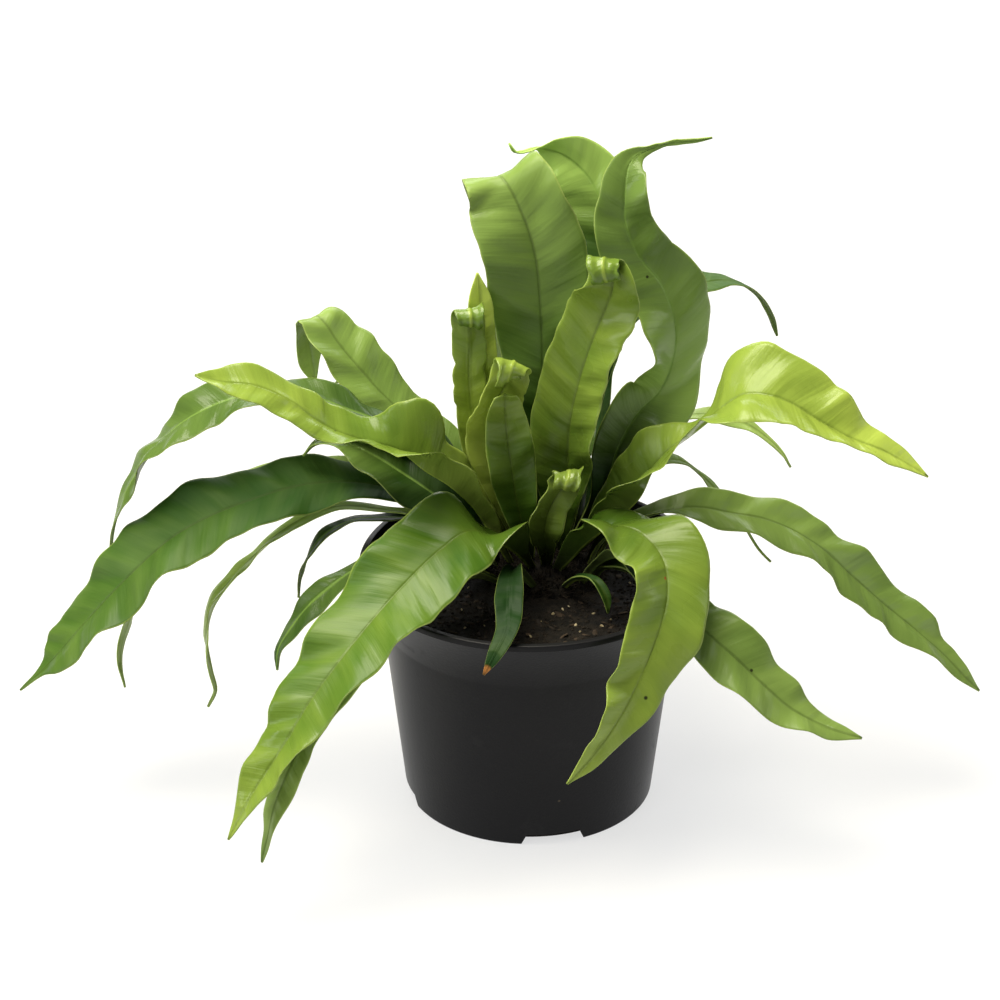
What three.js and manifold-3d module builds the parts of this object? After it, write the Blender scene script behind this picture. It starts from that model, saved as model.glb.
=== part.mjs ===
// A bird's nest fern in a black nursery pot, in millimetres, +Z up.
// The origin is on the pot's axis, on the surface that the pot stands on.
// The fern is seen from the front along +Y, with +X to the right.

import * as THREE from 'three';
import { mergeVertices } from 'three/addons/utils/BufferGeometryUtils.js';
import Module from 'manifold-3d';

// Pot
const RIM_RADIUS = 82.5;
const POT_HEIGHT = 123.5;
const FOOT_RADIUS = 60.5;
const SHOULDER_RADIUS = 71.5;
const SHOULDER_HEIGHT = 95;
const WALL = 1.8;
const FLOOR_THICKNESS = 2.4;
const FOOT_ROUND = 1;
const LIP_HEIGHT = 3.2;
const LIP_OVERHANG = 1.4;
const LIP_ROUND = 0.8;
const MOUTH_BEVEL = [0.4, 1];
const FLOOR_FILLET = [0.8, 1];
const POT_SIDES = 64;
const DRAIN_COUNT = 4;
const DRAIN_WIDTH = 32;
const DRAIN_TOP_WIDTH = 26;
const DRAIN_HEIGHT = 6;
const DRAIN_DEPTH = 13;
const FIRST_DRAIN_ANGLE = -79;

// Soil and crown
const SEAT_GAP = 0.3;
const SOIL_HEIGHT = 112;
const SOIL_MOUND = 1;
// The soil's surface, as shares of its radius and of the mound's height.
const SOIL_TOP = [[0.75, 0.4], [0.45, 1], [0, 1]];
const CROWN_CENTRE = [7, 12];
const CROWN_RADIUS = 31;
const CROWN_TOP = 122;
const CROWN_SHOULDER = 112;
const CROWN_BOTTOM = 92;
const CROWN_ROOT_RADIUS = 26;
// The crown's rounded top, as shares of its radius and of its height over the shoulder.
const CROWN_DOME = [[0.93, 0.45], [0.66, 0.72], [0.33, 0.94]];
const CROWN_SIDES = 28;

// Blades
const BLADE_THICKNESS = 0.8;
const STALK_THICKNESS = 1.9;
const RIB_THICKNESS = 1.5;
const STALK_LENGTH = 45;
const TROUGH = [70, 0];
const TROUGH_ANGLE = 44;
const BLADE_BOW = 0.1;
const RIPPLE_SLANT = 0.6;
const STATION_SPACING = 13;
const COLUMNS = [-1, -0.5, 0, 0.5, 1];
const SLIM_COLUMNS = [-1, 0, 1];
const SLIM_WIDTH = 16.5;
const CURL_STEP = 45;
const CURL_SHRINK = 0.4;
const CURL_TAPER = 0.5;
const CURL_FOLD = 0.15;
const CURL_LEAD = 12;
const SOCKET_LENGTH = 20;

const YOUNG_GREEN = '#8fb338';
const MIDDLE_GREEN = '#5f8f32';
const OLD_GREEN = '#2f5d28';

// Each row of a frond is a point of its midrib, from the crown to the tip: x, y, z, the blade's
// width there and its turn about the midrib in degrees. "faces" is the compass angle that the
// frond grows towards, from +X round to +Y. "fold" is how far each half rises from the midrib.
// "waves" is the number of ripples along each margin, and "ruffle" is their height. "curl" is the
// number of turns that the tip rolls up in, and the radius of the roll. "trough" is the length over
// which the blade opens out from the crown, and how much deeper it folds halfway along.
const FRONDS = [
  // Upright fronds round the heart
  {
    name: 'frond_tall_broad', color: MIDDLE_GREEN, faces: 92, fold: 18, waves: 3, ruffle: 3,
    rows: [
      [6, 27, 113, 5, 0], [4, 31, 152, 16, 0], [6, 34, 218, 43, 0], [5, 36, 243, 50, 0],
      [2.5, 38, 268, 52, 0], [-2.5, 40, 286, 50, -2], [-8.5, 43, 299, 47, -8],
      [-13.5, 48, 304, 42, -14], [-18, 56, 299, 31, -12], [-21, 63, 281, 16, 0],
      [-23, 66, 261, 1, 0],
    ],
  },
  {
    name: 'frond_tall_behind', color: OLD_GREEN, faces: 78, fold: 10, waves: 3, ruffle: 3,
    rows: [
      [12, 30, 111, 5, 0], [19, 43, 146, 12, 0], [27, 54, 184, 18, 0], [35, 66, 216.5, 24, 0],
      [40, 76, 244, 29, 0], [39, 84, 262, 31, 4], [34, 90, 275, 32, 12], [27, 95, 285.5, 31, 20],
      [17, 97, 294, 25, 28], [9, 96, 298, 13, 28], [3.5, 94, 299.5, 5, 20], [-2, 91, 299, 3.5, 10],
      [-7, 89, 299.5, 2.5, 0], [-10, 89, 304, 1, 0],
    ],
  },
  {
    name: 'frond_tall_wavy', color: OLD_GREEN, faces: 90, fold: 24, waves: 4, ruffle: 4,
    rows: [
      [17, 22, 113, 5, 0], [35, 28, 142, 18, 0], [43, 29, 171, 30, 0], [52, 29, 189, 36, 5],
      [62, 31, 200, 40, 26], [68, 32, 216, 43, 34], [69, 32, 235, 43, 32], [62, 31, 257, 39, 24],
      [53, 31, 269, 36, 12], [47, 31, 281, 34, 2], [44.5, 32, 291, 31, -8],
      [44.5, 33, 301, 27, -10], [45, 35, 310, 23, -8], [46.5, 38, 316, 17, 0],
      [50.5, 40, 320, 9, 0], [55, 40.5, 322, 5, 0], [60, 40.5, 324.3, 4.4, 0],
      [65, 40, 325.8, 4, 0], [71, 40, 326.5, 3.4, 0], [78, 40, 327.2, 2.8, 0],
      [85.4, 40, 328.5, 1, 0],
    ],
  },
  {
    name: 'frond_upright_left', color: YOUNG_GREEN, faces: 100, fold: 18, waves: 3, ruffle: 1,
    curl: [1, 5],
    rows: [
      [-5, 18, 113, 5, 0], [-14, 18, 137, 9, 0], [-24, 19, 169, 15, 0], [-29, 20, 205, 17, 0],
      [-29, 20, 234, 17, 0], [-29.5, 19, 247, 16, 0],
    ],
  },
  {
    name: 'frond_upright_inner', color: YOUNG_GREEN, faces: 95, fold: 14, waves: 2, ruffle: 1,
    rows: [
      [0, 22, 113, 5, 0], [-12, 24, 150, 8, 0], [-20, 25, 201, 12, 0], [-23, 26, 237, 13, 0],
      [-24, 26, 252, 11, 0], [-25, 26, 265, 1, 0],
    ],
  },
  {
    name: 'frond_young_right', color: YOUNG_GREEN, faces: 90, fold: 28, waves: 4, ruffle: 1.5,
    curl: [1.1, 6.5],
    rows: [
      [12, 16, 114, 5, 0], [15, 16, 138, 18, -10], [18, 16, 160, 31, -28], [20, 16, 192, 43, -42],
      [25, 16, 217, 43, -40], [31, 15, 238, 40, -34], [37, 13, 256, 39, -26],
      [39, 10, 268, 30, -16], [36, 8, 279, 18, -8],
    ],
  },
  {
    name: 'frond_young_left', color: YOUNG_GREEN, faces: 100, fold: 30, waves: 3, ruffle: 1.5,
    curl: [1, 6],
    rows: [
      [3, 17, 114, 5, 0], [-9, 14, 138, 10, 0], [-15.5, 13.5, 165, 24, 0], [-19, 12, 189, 32, 0],
      [-17, 10, 203, 30, -4], [-13, 8, 213, 25, -10], [-9.5, 5, 222, 21, -18],
      [-8, 2, 229, 19, -24],
    ],
  },
  {
    name: 'frond_young_middle', color: YOUNG_GREEN, faces: 100, fold: 26, waves: 3, ruffle: 1.5,
    rows: [
      [0, 9, 114, 5, 0], [-3, 4, 137, 14, 0], [-7, 1, 160, 24, 0], [-9, 0, 176, 26, 0],
      [-11, -1, 193, 25, 0], [-12, -2, 206, 20, 0], [-12, -3, 213, 16, 0], [-12, -4, 216, 12, 0],
    ],
  },
  {
    name: 'frond_youngest', color: YOUNG_GREEN, faces: 90, fold: 20, waves: 4, ruffle: 1,
    curl: [1, 5.5],
    rows: [
      [8, 5, 115, 4, 0], [8, -3, 134, 12, 0], [7, -6, 143, 20, 0], [8, -8, 152, 23, 0],
      [11, -9, 161, 19, 0], [15, -9, 168, 17, 0], [17, -9, 175, 16, 0],
    ],
  },

  // Broad fronds that arch out over the rim
  {
    name: 'frond_twisted_right', color: YOUNG_GREEN, faces: 0, fold: 28, waves: 5, ruffle: 3,
    trough: [100, 18],
    rows: [
      [15, 9, 114, 5, 0], [27, 8, 128, 16, -10], [39, 6, 141, 33, -10], [52, 3, 156, 44, -4],
      [59, 0, 174, 40, 6], [66, -3, 185, 31, 4], [76, -6, 195, 22, -8], [85, -9, 205, 20, -8],
      [91, -11, 212, 42, 2], [101, -15, 221, 54, 12], [112, -18, 222, 51, 24],
      [122, -20, 219, 48, 28], [136, -24, 211, 38, 24], [150, -27, 204, 29, 20],
      [164, -29, 199, 22, 20], [177, -30, 192, 12, 20], [187, -31, 186, 1, 20],
    ],
  },
  {
    name: 'frond_front_right', color: YOUNG_GREEN, faces: 300, fold: 16, waves: 5, ruffle: 3,
    rows: [
      [12, 2, 114, 5, 0], [19, -8, 128, 14, 0], [28, -15, 143, 28, 0], [40, -25, 156, 42, 0],
      [53, -37, 158, 43, 0], [62, -48, 151, 42, 0], [64, -59, 141, 42, 0], [61, -69, 128, 39, 0],
      [54, -79, 112, 35, 0], [45, -89, 96, 27, 0], [35, -98, 83, 18, 0], [25, -104, 72, 9, 0],
      [17, -108, 64, 1, 0],
    ],
  },
  {
    name: 'frond_front_left', color: YOUNG_GREEN, faces: 222, fold: 14, waves: 6, ruffle: 3.5,
    trough: [60, 0],
    rows: [
      [3, 3, 114, 5, 0], [-6, -8, 132, 14, 8], [-14, -16, 142, 37, 16], [-29, -26, 154, 44, -18],
      [-43, -40, 151, 50, -18], [-59, -56, 142, 50, -14], [-75, -72, 130, 49, -10],
      [-90, -88, 117, 45, -6], [-103, -100, 103, 38, 0], [-113, -110, 89, 31, 0],
      [-124, -118, 74, 23, 0], [-133, -124, 61, 13, 0], [-141, -128, 46, 1, 0],
    ],
  },
  {
    name: 'frond_left_bright', color: YOUNG_GREEN, faces: 188, fold: 14, waves: 5, ruffle: 3,
    trough: [140, 24],
    rows: [
      [-7, 8, 113, 5, 10], [-16, 3, 132, 11, 8], [-26, -2.5, 153, 22, 10], [-38, -8, 169, 36, 4],
      [-50, -9, 178, 40, -8], [-60, -9, 187, 60, -24], [-66, -9, 190, 44, -26],
      [-72, -10, 192, 32, -18], [-84, -11, 196, 28, -12], [-99, -12, 204, 26, -15],
      [-113, -14, 217, 26, -18], [-129, -16, 226, 25, -20], [-145, -18, 229, 17, -20],
      [-157, -20, 234, 1, -20],
    ],
  },

  // Long fronds to the right
  {
    name: 'frond_long_right', color: MIDDLE_GREEN, faces: 5, fold: 12, waves: 6, ruffle: 2.5,
    rows: [
      [27, 8, 111, 5, 0], [36, 8, 131, 8, 10], [56, 12, 141, 12, 10], [78, 16, 144, 20, 15],
      [97, 20, 139, 27, 20], [118, 22, 133, 31, 20], [140, 22, 120, 33, 20], [159, 20, 102, 34, 20],
      [175, 17, 88, 33, 20], [191, 12, 76, 28, 20], [204, 8, 65, 19, 20], [213, 5, 56, 9, 20],
      [221, 3, 49, 1, 20],
    ],
  },
  {
    name: 'frond_low_right', color: MIDDLE_GREEN, faces: 325, fold: 12, waves: 5, ruffle: 3,
    rows: [
      [30, 0, 109, 5, 0], [36, -12, 126, 8, 0], [48, -27, 132, 16, 0], [66, -44, 129, 26, 10],
      [80, -54, 118, 31, 15], [96, -62, 106, 31, 15], [111, -68, 93, 28, 15],
      [125, -72, 82, 22, 15], [142, -76, 75, 12, 15], [157, -78, 71, 1, 15],
    ],
  },
  {
    name: 'frond_back_right', color: MIDDLE_GREEN, faces: 35, fold: 12, waves: 4, ruffle: 2,
    rows: [
      [22, 22, 111, 5, 0], [33, 42, 143, 8, 0], [36, 62, 168, 10, 0], [37, 76, 190, 12, 0],
      [46, 84, 206, 15, 0], [57, 89, 217, 19, 0], [70, 93, 223, 21, 0], [86, 96, 226, 21, 0],
      [101, 100, 225, 16, 0], [111, 102, 218, 13, 0], [118, 103, 207, 9, 0], [123, 103, 194, 1, 0],
    ],
  },
  {
    name: 'frond_narrow_right', color: MIDDLE_GREEN, faces: 15, fold: 12, waves: 4, ruffle: 1,
    rows: [
      [31, 19, 108, 5, 0], [46, 38, 148, 8, 0], [59, 50, 165, 11, 0], [76, 58, 172, 12, 5],
      [91, 62, 171, 12, 10], [106, 64, 165, 11, 15], [117, 64, 157, 8, 15], [125, 64, 148, 4, 15],
      [129, 64, 141, 1, 15],
    ],
  },
  {
    name: 'frond_thread_right', color: MIDDLE_GREEN, faces: 8, fold: 12, waves: 4, ruffle: 1,
    rows: [
      [30, 13, 110, 5, 0], [44, 18, 138, 7, 0], [54, 25, 155, 7, 0], [64, 32, 161, 8, 0],
      [74, 38, 158, 10, 0], [84, 42, 148, 10, 0], [95, 43, 135, 8, 0], [105, 42, 121, 4, 0],
      [113, 40, 108, 2, 0], [119, 38, 102, 1, 0],
    ],
  },

  // Long fronds to the left
  {
    name: 'frond_long_left', color: MIDDLE_GREEN, faces: 178, fold: 12, waves: 6, ruffle: 3,
    rows: [
      [-13, 14, 111, 5, 0], [-31, 20, 138, 10, -5], [-63, 20, 151, 18, -10],
      [-87, 16, 158, 28, -16], [-111, 12, 158, 34, -22], [-135, 8, 152, 39, -26],
      [-155, 4, 145, 43, -28], [-172, 0, 136, 46, -28], [-190, -5, 121, 45, -28],
      [-207, -10, 104, 41, -26], [-221, -15, 89, 34, -24], [-230, -18, 79, 25, -22],
      [-236, -19, 73, 9, -20], [-247, -20, 63, 1, -20],
    ],
  },
  {
    name: 'frond_under_long_left', color: MIDDLE_GREEN, faces: 165, fold: 12, waves: 4, ruffle: 2,
    rows: [
      [-17, 21, 108, 5, 0], [-36, 30, 136, 8, 0], [-63, 36, 148, 12, 0], [-104, 40, 155, 16, 0],
      [-142, 41, 144, 20, 0], [-174, 36, 115, 20, 0], [-189, 30, 91, 16, 0], [-198, 26, 73, 12, 0],
      [-202, 22, 58, 5, 0], [-200, 20, 41, 1, 0],
    ],
  },
  {
    name: 'frond_left_dark', color: OLD_GREEN, faces: 172, fold: 12, waves: 5, ruffle: 3,
    rows: [
      [-10, 20, 111, 5, 0], [-25, 26, 149, 10, 0], [-43, 27, 170, 22, 0], [-62, 27, 181, 28, 0],
      [-84, 27, 190, 28, -5], [-110, 27, 200, 28, -5], [-134, 26, 200, 28, -8],
      [-151, 25, 195, 30, -10], [-168, 22, 186, 31, -12], [-183, 20, 171, 26, -12],
      [-194, 18, 153, 17, -12], [-201, 17, 135, 7, -10], [-205, 17, 107, 1, -10],
    ],
  },
  {
    name: 'frond_left_hidden', color: OLD_GREEN, faces: 172, fold: 12, waves: 3, ruffle: 2,
    rows: [
      [-13, 7, 111, 5, 0], [-29, 8, 139, 16, -18], [-45, 7, 155, 29, -32], [-60, 10, 165, 35, -32],
      [-76, 14, 174, 28, -24], [-91, 17, 179, 15, -8], [-103, 17, 178, 9, 0], [-109, 17, 172, 1, 0],
    ],
  },
  {
    name: 'frond_back_left', color: MIDDLE_GREEN, faces: 140, fold: 12, waves: 4, ruffle: 3,
    rows: [
      [-6, 25, 111, 5, 0], [-24, 37, 149, 12, 0], [-43, 46, 165, 24, 0], [-67, 54, 181, 32, 0],
      [-83, 60, 197, 34, 0], [-94, 66, 209, 33, 0], [-100, 70, 217, 29, 0], [-104, 73, 219, 26, 14],
      [-108, 76, 210, 19, 6], [-107, 77, 195, 15, 0], [-105, 78, 179, 1, 0],
    ],
  },
  {
    name: 'frond_back_left_small', color: OLD_GREEN, faces: 148, fold: 12, waves: 3, ruffle: 1,
    rows: [
      [-13, 27, 108, 5, 0], [-32, 50, 146, 9, 0], [-60, 68, 166, 13, 0], [-82, 80, 177, 14, 0],
      [-93, 84, 179, 9, 0], [-100, 85, 170, 1, 0],
    ],
  },
  {
    name: 'frond_thin_left', color: MIDDLE_GREEN, faces: 182, fold: 12, waves: 5, ruffle: 1,
    rows: [
      [-19, 6, 108, 5, 0], [-38, 8, 137, 6, 0], [-70, 12, 145, 7, 0], [-96, 14, 145, 10, 0],
      [-117, 12, 135, 15, 0], [-139, 8, 115, 17, 0], [-154, 2, 96, 16, 0], [-157, -2, 81, 14, 0],
      [-155, -5, 66, 9, 0], [-153, -7, 55, 4, 0], [-157, -9, 47, 1, 0],
    ],
  },
  {
    name: 'frond_thin_left_dark', color: OLD_GREEN, faces: 172, fold: 12, waves: 3, ruffle: 1,
    rows: [
      [-19, 13, 109, 5, 0], [-39, 22, 131, 6, 0], [-66, 28, 132, 8, 0], [-87, 30, 129, 10, 0],
      [-101, 28, 121, 10, 0], [-109, 25, 110, 8, 0], [-112, 22, 101, 5, 0], [-113, 20, 92, 1, 0],
    ],
  },
  {
    name: 'frond_low_left_dark', color: OLD_GREEN, faces: 205, fold: 12, waves: 3, ruffle: 2,
    rows: [
      [-12, 1, 111, 5, 0], [-38, -6, 127, 7, 0], [-62, -14, 137, 12, 0], [-79, -22, 134, 16, 0],
      [-93, -27, 126, 17, 0], [-106, -32, 116, 16, 0], [-115, -36, 105, 15, 0],
      [-120, -38, 96, 10, 0], [-121, -40, 86, 1, 0],
    ],
  },
  {
    name: 'frond_under_front_left', color: MIDDLE_GREEN, faces: 225, fold: 12, waves: 4, ruffle: 2,
    rows: [
      [-6, -6, 111, 5, 0], [-29, -32, 132, 8, 0], [-54, -60, 130, 12, 0], [-80, -86, 117, 15, 0],
      [-100, -104, 96, 17, 0], [-112, -112, 75, 18, 0], [-119, -116, 58, 15, 0],
      [-123, -119, 41, 8, 0], [-126, -121, 29, 1, 0],
    ],
  },

  // Small fronds over the soil
  {
    name: 'frond_short_front', color: OLD_GREEN, faces: 265, fold: 10, waves: 2, ruffle: 1,
    rows: [
      [4, -10, 111, 5, 0], [-6, -24, 131, 8, 0], [-9, -40, 138, 13, 0], [-10, -60, 136, 14, 0],
      [-11, -79, 131, 11, 0], [-17, -90, 123, 7, 0], [-22, -94, 115, 1, 0],
    ],
  },
  {
    name: 'frond_short_right', color: OLD_GREEN, faces: 315, fold: 10, waves: 2, ruffle: 1,
    rows: [
      [24, -5, 110, 5, 0], [33, -18, 132, 9, 0], [43, -30, 142, 14, 0], [51, -39, 139, 10, 0],
      [57, -47, 131, 1, 0],
    ],
  },
  {
    name: 'frond_short_tip', color: YOUNG_GREEN, faces: 300, fold: 10, waves: 2, ruffle: 0.5,
    rows: [
      [15, -8, 111, 4, 0], [23, -26, 128, 6, 0], [31, -36, 132, 7, 0], [36, -41, 126, 5, 0],
      [37, -43, 119, 1, 0],
    ],
  },

  // Fronds behind the heart
  {
    name: 'frond_rear_tall', color: MIDDLE_GREEN, faces: 92, fold: 12, waves: 4, ruffle: 3,
    rows: [
      [5, 30, 111, 5, 0], [3, 48, 150, 14, 0], [2, 72, 185, 26, 0], [0, 104, 200, 34, 0],
      [-2, 138, 190, 36, 0], [-3, 168, 160, 30, 0], [-4, 186, 122, 18, 0], [-4, 194, 92, 1, 0],
    ],
  },
  {
    name: 'frond_rear_left', color: MIDDLE_GREEN, faces: 112, fold: 12, waves: 4, ruffle: 3,
    rows: [
      [-1, 29, 111, 5, 0], [-10, 46, 134, 12, 0], [-20, 64, 140, 22, 0], [-32, 90, 132, 28, 0],
      [-42, 118, 108, 26, 0], [-48, 134, 80, 14, 0], [-50, 140, 58, 1, 0],
    ],
  },
  {
    name: 'frond_rear_right', color: MIDDLE_GREEN, faces: 66, fold: 12, waves: 4, ruffle: 3,
    rows: [
      [17, 29, 111, 5, 0], [21, 50, 142, 11, 0], [31, 69, 155, 22, 0], [42, 92, 150, 27, 0],
      [50, 115, 130, 26, 0], [53, 134, 102, 20, 0], [53, 146, 72, 1, 0],
    ],
  },
  {
    name: 'frond_rear_low', color: OLD_GREEN, faces: 86, fold: 12, waves: 3, ruffle: 2,
    rows: [
      [9, 36, 108, 5, 0], [9, 54, 128, 10, 0], [9, 76, 138, 19, 0], [10, 98, 134, 24, 0],
      [12, 118, 114, 23, 0], [13, 132, 88, 15, 0], [13, 138, 62, 1, 0],
    ],
  },
  {
    name: 'frond_rear_low_right', color: OLD_GREEN, faces: 70, fold: 12, waves: 3, ruffle: 2,
    rows: [
      [20, 33, 109, 5, 0], [28, 52, 126, 8, 0], [34, 72, 133, 15, 0], [40, 92, 126, 18, 0],
      [43, 108, 106, 15, 0], [45, 117, 84, 8, 0], [46, 120, 64, 1, 0],
    ],
  },
  {
    name: 'frond_rear_low_left', color: OLD_GREEN, faces: 112, fold: 12, waves: 3, ruffle: 2,
    rows: [
      [-3, 33, 109, 5, 0], [-11, 54, 126, 8, 0], [-20, 74, 131, 15, 0], [-28, 92, 120, 17, 0],
      [-33, 104, 94, 12, 0], [-35, 110, 64, 1, 0],
    ],
  },
];

const wasm = await Module();
wasm.setup();

const degrees = THREE.MathUtils.degToRad;

function meshFrom(points, triangles) {
  const geometry = new THREE.BufferGeometry();
  geometry.setAttribute('position', new THREE.Float32BufferAttribute(points.flat(), 3));
  geometry.setIndex(triangles.flat());
  return geometry;
}

function solidFrom(geometry) {
  const bare = geometry.clone();
  bare.deleteAttribute('normal');
  bare.deleteAttribute('uv');
  const merged = mergeVertices(bare, 1e-4);
  return new wasm.Manifold(new wasm.Mesh({
    numProp: 3,
    vertProperties: new Float32Array(merged.attributes.position.array),
    triVerts: new Uint32Array(merged.index.array),
  }));
}

function geometryFrom(solid) {
  const mesh = solid.getMesh();
  const geometry = new THREE.BufferGeometry();
  geometry.setAttribute('position', new THREE.BufferAttribute(mesh.vertProperties, 3));
  geometry.setIndex(new THREE.BufferAttribute(mesh.triVerts, 1));
  return geometry;
}

// A body of revolution about +Z, from radius and height pairs that start and end on the axis.
function turned(profile, sides) {
  const points = profile.map(([radius, height]) => new THREE.Vector2(radius, height));
  const geometry = new THREE.LatheGeometry(points, sides);
  geometry.rotateX(Math.PI / 2);
  return geometry;
}

function potSolid() {
  const innerShoulder = SHOULDER_RADIUS - WALL;
  const innerFoot = FOOT_RADIUS - WALL;
  const innerRim = RIM_RADIUS - LIP_OVERHANG - WALL;
  const shell = turned([
    [0, 0],
    [FOOT_RADIUS - FOOT_ROUND, 0],
    [FOOT_RADIUS, FOOT_ROUND],
    [SHOULDER_RADIUS, SHOULDER_HEIGHT],
    [RIM_RADIUS - LIP_OVERHANG, POT_HEIGHT - LIP_HEIGHT],
    [RIM_RADIUS, POT_HEIGHT - LIP_HEIGHT],
    [RIM_RADIUS, POT_HEIGHT - LIP_ROUND],
    [RIM_RADIUS - LIP_ROUND, POT_HEIGHT],
    [innerRim + MOUTH_BEVEL[0], POT_HEIGHT],
    [innerRim, POT_HEIGHT - MOUTH_BEVEL[1]],
    [innerShoulder, SHOULDER_HEIGHT],
    [innerFoot + FLOOR_FILLET[0], FLOOR_THICKNESS + FLOOR_FILLET[1]],
    [innerFoot, FLOOR_THICKNESS],
    [0, FLOOR_THICKNESS],
  ], POT_SIDES);
  let solid = solidFrom(shell);
  for (let k = 0; k < DRAIN_COUNT; k += 1) {
    solid = solid.subtract(drainSolid(FIRST_DRAIN_ANGLE + (k * 360) / DRAIN_COUNT));
  }
  return solid;
}

// The tapered opening that is cut through the foot of the wall, at an angle from +X.
function drainSolid(angle) {
  const outline = new THREE.Shape();
  outline.moveTo(-DRAIN_WIDTH / 2, -1);
  outline.lineTo(DRAIN_WIDTH / 2, -1);
  outline.lineTo(DRAIN_TOP_WIDTH / 2, DRAIN_HEIGHT);
  outline.lineTo(-DRAIN_TOP_WIDTH / 2, DRAIN_HEIGHT);
  outline.closePath();
  const block = new THREE.ExtrudeGeometry(outline, { depth: 2 * DRAIN_DEPTH, bevelEnabled: false });
  block.rotateX(Math.PI / 2);
  block.translate(0, DRAIN_DEPTH - FOOT_RADIUS, 0);
  block.rotateZ(degrees(angle + 90));
  return solidFrom(block);
}

function crownSolid(grow) {
  const crown = turned([
    [0, CROWN_BOTTOM - grow],
    [CROWN_ROOT_RADIUS + grow, CROWN_BOTTOM - grow],
    [CROWN_RADIUS + grow, CROWN_SHOULDER],
    ...CROWN_DOME.map(([across, up]) => [
      CROWN_RADIUS * across + grow,
      CROWN_SHOULDER + (CROWN_TOP - CROWN_SHOULDER) * up + grow,
    ]),
    [0, CROWN_TOP + grow],
  ], CROWN_SIDES);
  crown.translate(CROWN_CENTRE[0], CROWN_CENTRE[1], 0);
  return solidFrom(crown);
}

// The inside of the pot's wall at a height, less the gap that the soil leaves.
function soilEdge(height) {
  const foot = FOOT_RADIUS - WALL - SEAT_GAP;
  const shoulder = SHOULDER_RADIUS - WALL - SEAT_GAP;
  const rim = RIM_RADIUS - LIP_OVERHANG - WALL - SEAT_GAP;
  if (height <= SHOULDER_HEIGHT) {
    return THREE.MathUtils.mapLinear(height, 0, SHOULDER_HEIGHT, foot, shoulder);
  }
  return THREE.MathUtils.mapLinear(height, SHOULDER_HEIGHT, POT_HEIGHT, shoulder, rim);
}

function soilSolid() {
  const bottom = FLOOR_THICKNESS + SEAT_GAP;
  const edge = soilEdge(SOIL_HEIGHT);
  const soil = turned([
    [0, bottom],
    [soilEdge(bottom) - FLOOR_FILLET[0], bottom],
    [soilEdge(bottom + FLOOR_FILLET[1]), bottom + FLOOR_FILLET[1]],
    [soilEdge(SHOULDER_HEIGHT), SHOULDER_HEIGHT],
    [edge, SOIL_HEIGHT],
    ...SOIL_TOP.map(([across, up]) => [edge * across, SOIL_HEIGHT + SOIL_MOUND * up]),
  ], POT_SIDES);
  return solidFrom(soil).subtract(crownSolid(SEAT_GAP));
}

// Square root of the distance between two rows, as a centripetal spline spaces its points.
function stride(a, b) {
  return Math.sqrt(Math.hypot(b[0] - a[0], b[1] - a[1], b[2] - a[2]));
}

// Every column of the rows, on a smooth curve at a fraction t of the way from row i to row i + 1.
function between(rows, i, t) {
  const from = rows[i];
  const to = rows[i + 1];
  const before = rows[i - 1] ?? from.map((value, k) => 2 * value - to[k]);
  const after = rows[i + 2] ?? to.map((value, k) => 2 * value - from[k]);
  const a = stride(before, from);
  const b = stride(from, to);
  const c = stride(to, after);
  return from.map((start, k) => {
    const end = to[k];
    const leave = ((start - before[k]) / a - (end - before[k]) / (a + b) + (end - start) / b) * b;
    const arrive = ((end - start) / b - (after[k] - start) / (b + c) + (after[k] - end) / c) * b;
    const rise = end - start;
    return start + leave * t + (3 * rise - 2 * leave - arrive) * t * t
      + (leave + arrive - 2 * rise) * t * t * t;
  });
}

// The rows of a rolled tip: a shrinking spiral towards the blade's upper face.
function curledRows(frond) {
  const rows = frond.rows;
  if (!frond.curl) return rows;
  const [turns, radius] = frond.curl;
  const last = rows[rows.length - 1];
  const frame = frameAt(frond, rows, rows.length - 2, 1);
  const steps = Math.round((turns * 360) / CURL_STEP);
  const spiral = [];
  for (let k = 1; k <= steps; k += 1) {
    const angle = degrees(k * CURL_STEP);
    const reach = radius * (1 - (CURL_SHRINK * k) / steps);
    const centre = frame.origin.clone().addScaledVector(frame.up, radius);
    const point = centre.addScaledVector(frame.up, -reach * Math.cos(angle));
    point.addScaledVector(frame.along, reach * Math.sin(angle));
    spiral.push([point.x, point.y, point.z, last[3] * (1 - (CURL_TAPER * k) / steps), last[4]]);
  }
  return [...rows, ...spiral];
}

// The midrib's place and directions between rows i and i + 1: along it, across the blade to its
// right, and up from its upper face.
function frameAt(frond, rows, i, t) {
  const here = between(rows, i, t);
  const back = between(rows, i, t - 0.02);
  const ahead = between(rows, i, t + 0.02);
  const along = new THREE.Vector3(...ahead).sub(new THREE.Vector3(...back)).normalize();
  const compass = degrees(frond.faces);
  const across = new THREE.Vector3(Math.sin(compass), -Math.cos(compass), 0);
  across.addScaledVector(along, -across.dot(along)).normalize();
  across.applyAxisAngle(along, degrees(here[4]));
  return {
    origin: new THREE.Vector3(here[0], here[1], here[2]),
    halfWidth: Math.max(here[3], 1) / 2,
    along,
    across,
    up: new THREE.Vector3().crossVectors(across, along),
  };
}

function stationsOf(frond) {
  const rows = curledRows(frond);
  const stations = [];
  let travelled = 0;
  let rollStart = Infinity;
  for (let i = 0; i < rows.length - 1; i += 1) {
    if (i === frond.rows.length - 1) rollStart = travelled;
    const length = stride(rows[i], rows[i + 1]) ** 2;
    const steps = Math.max(1, Math.round(length / STATION_SPACING));
    for (let k = i === 0 ? 0 : 1; k <= steps; k += 1) {
      const t = k / steps;
      stations.push({ ...frameAt(frond, rows, i, t), distance: travelled + length * t });
    }
    travelled += length;
  }
  for (const station of stations) station.fold = foldAt(frond, station.distance, rollStart);
  return { stations, length: travelled };
}

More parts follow.
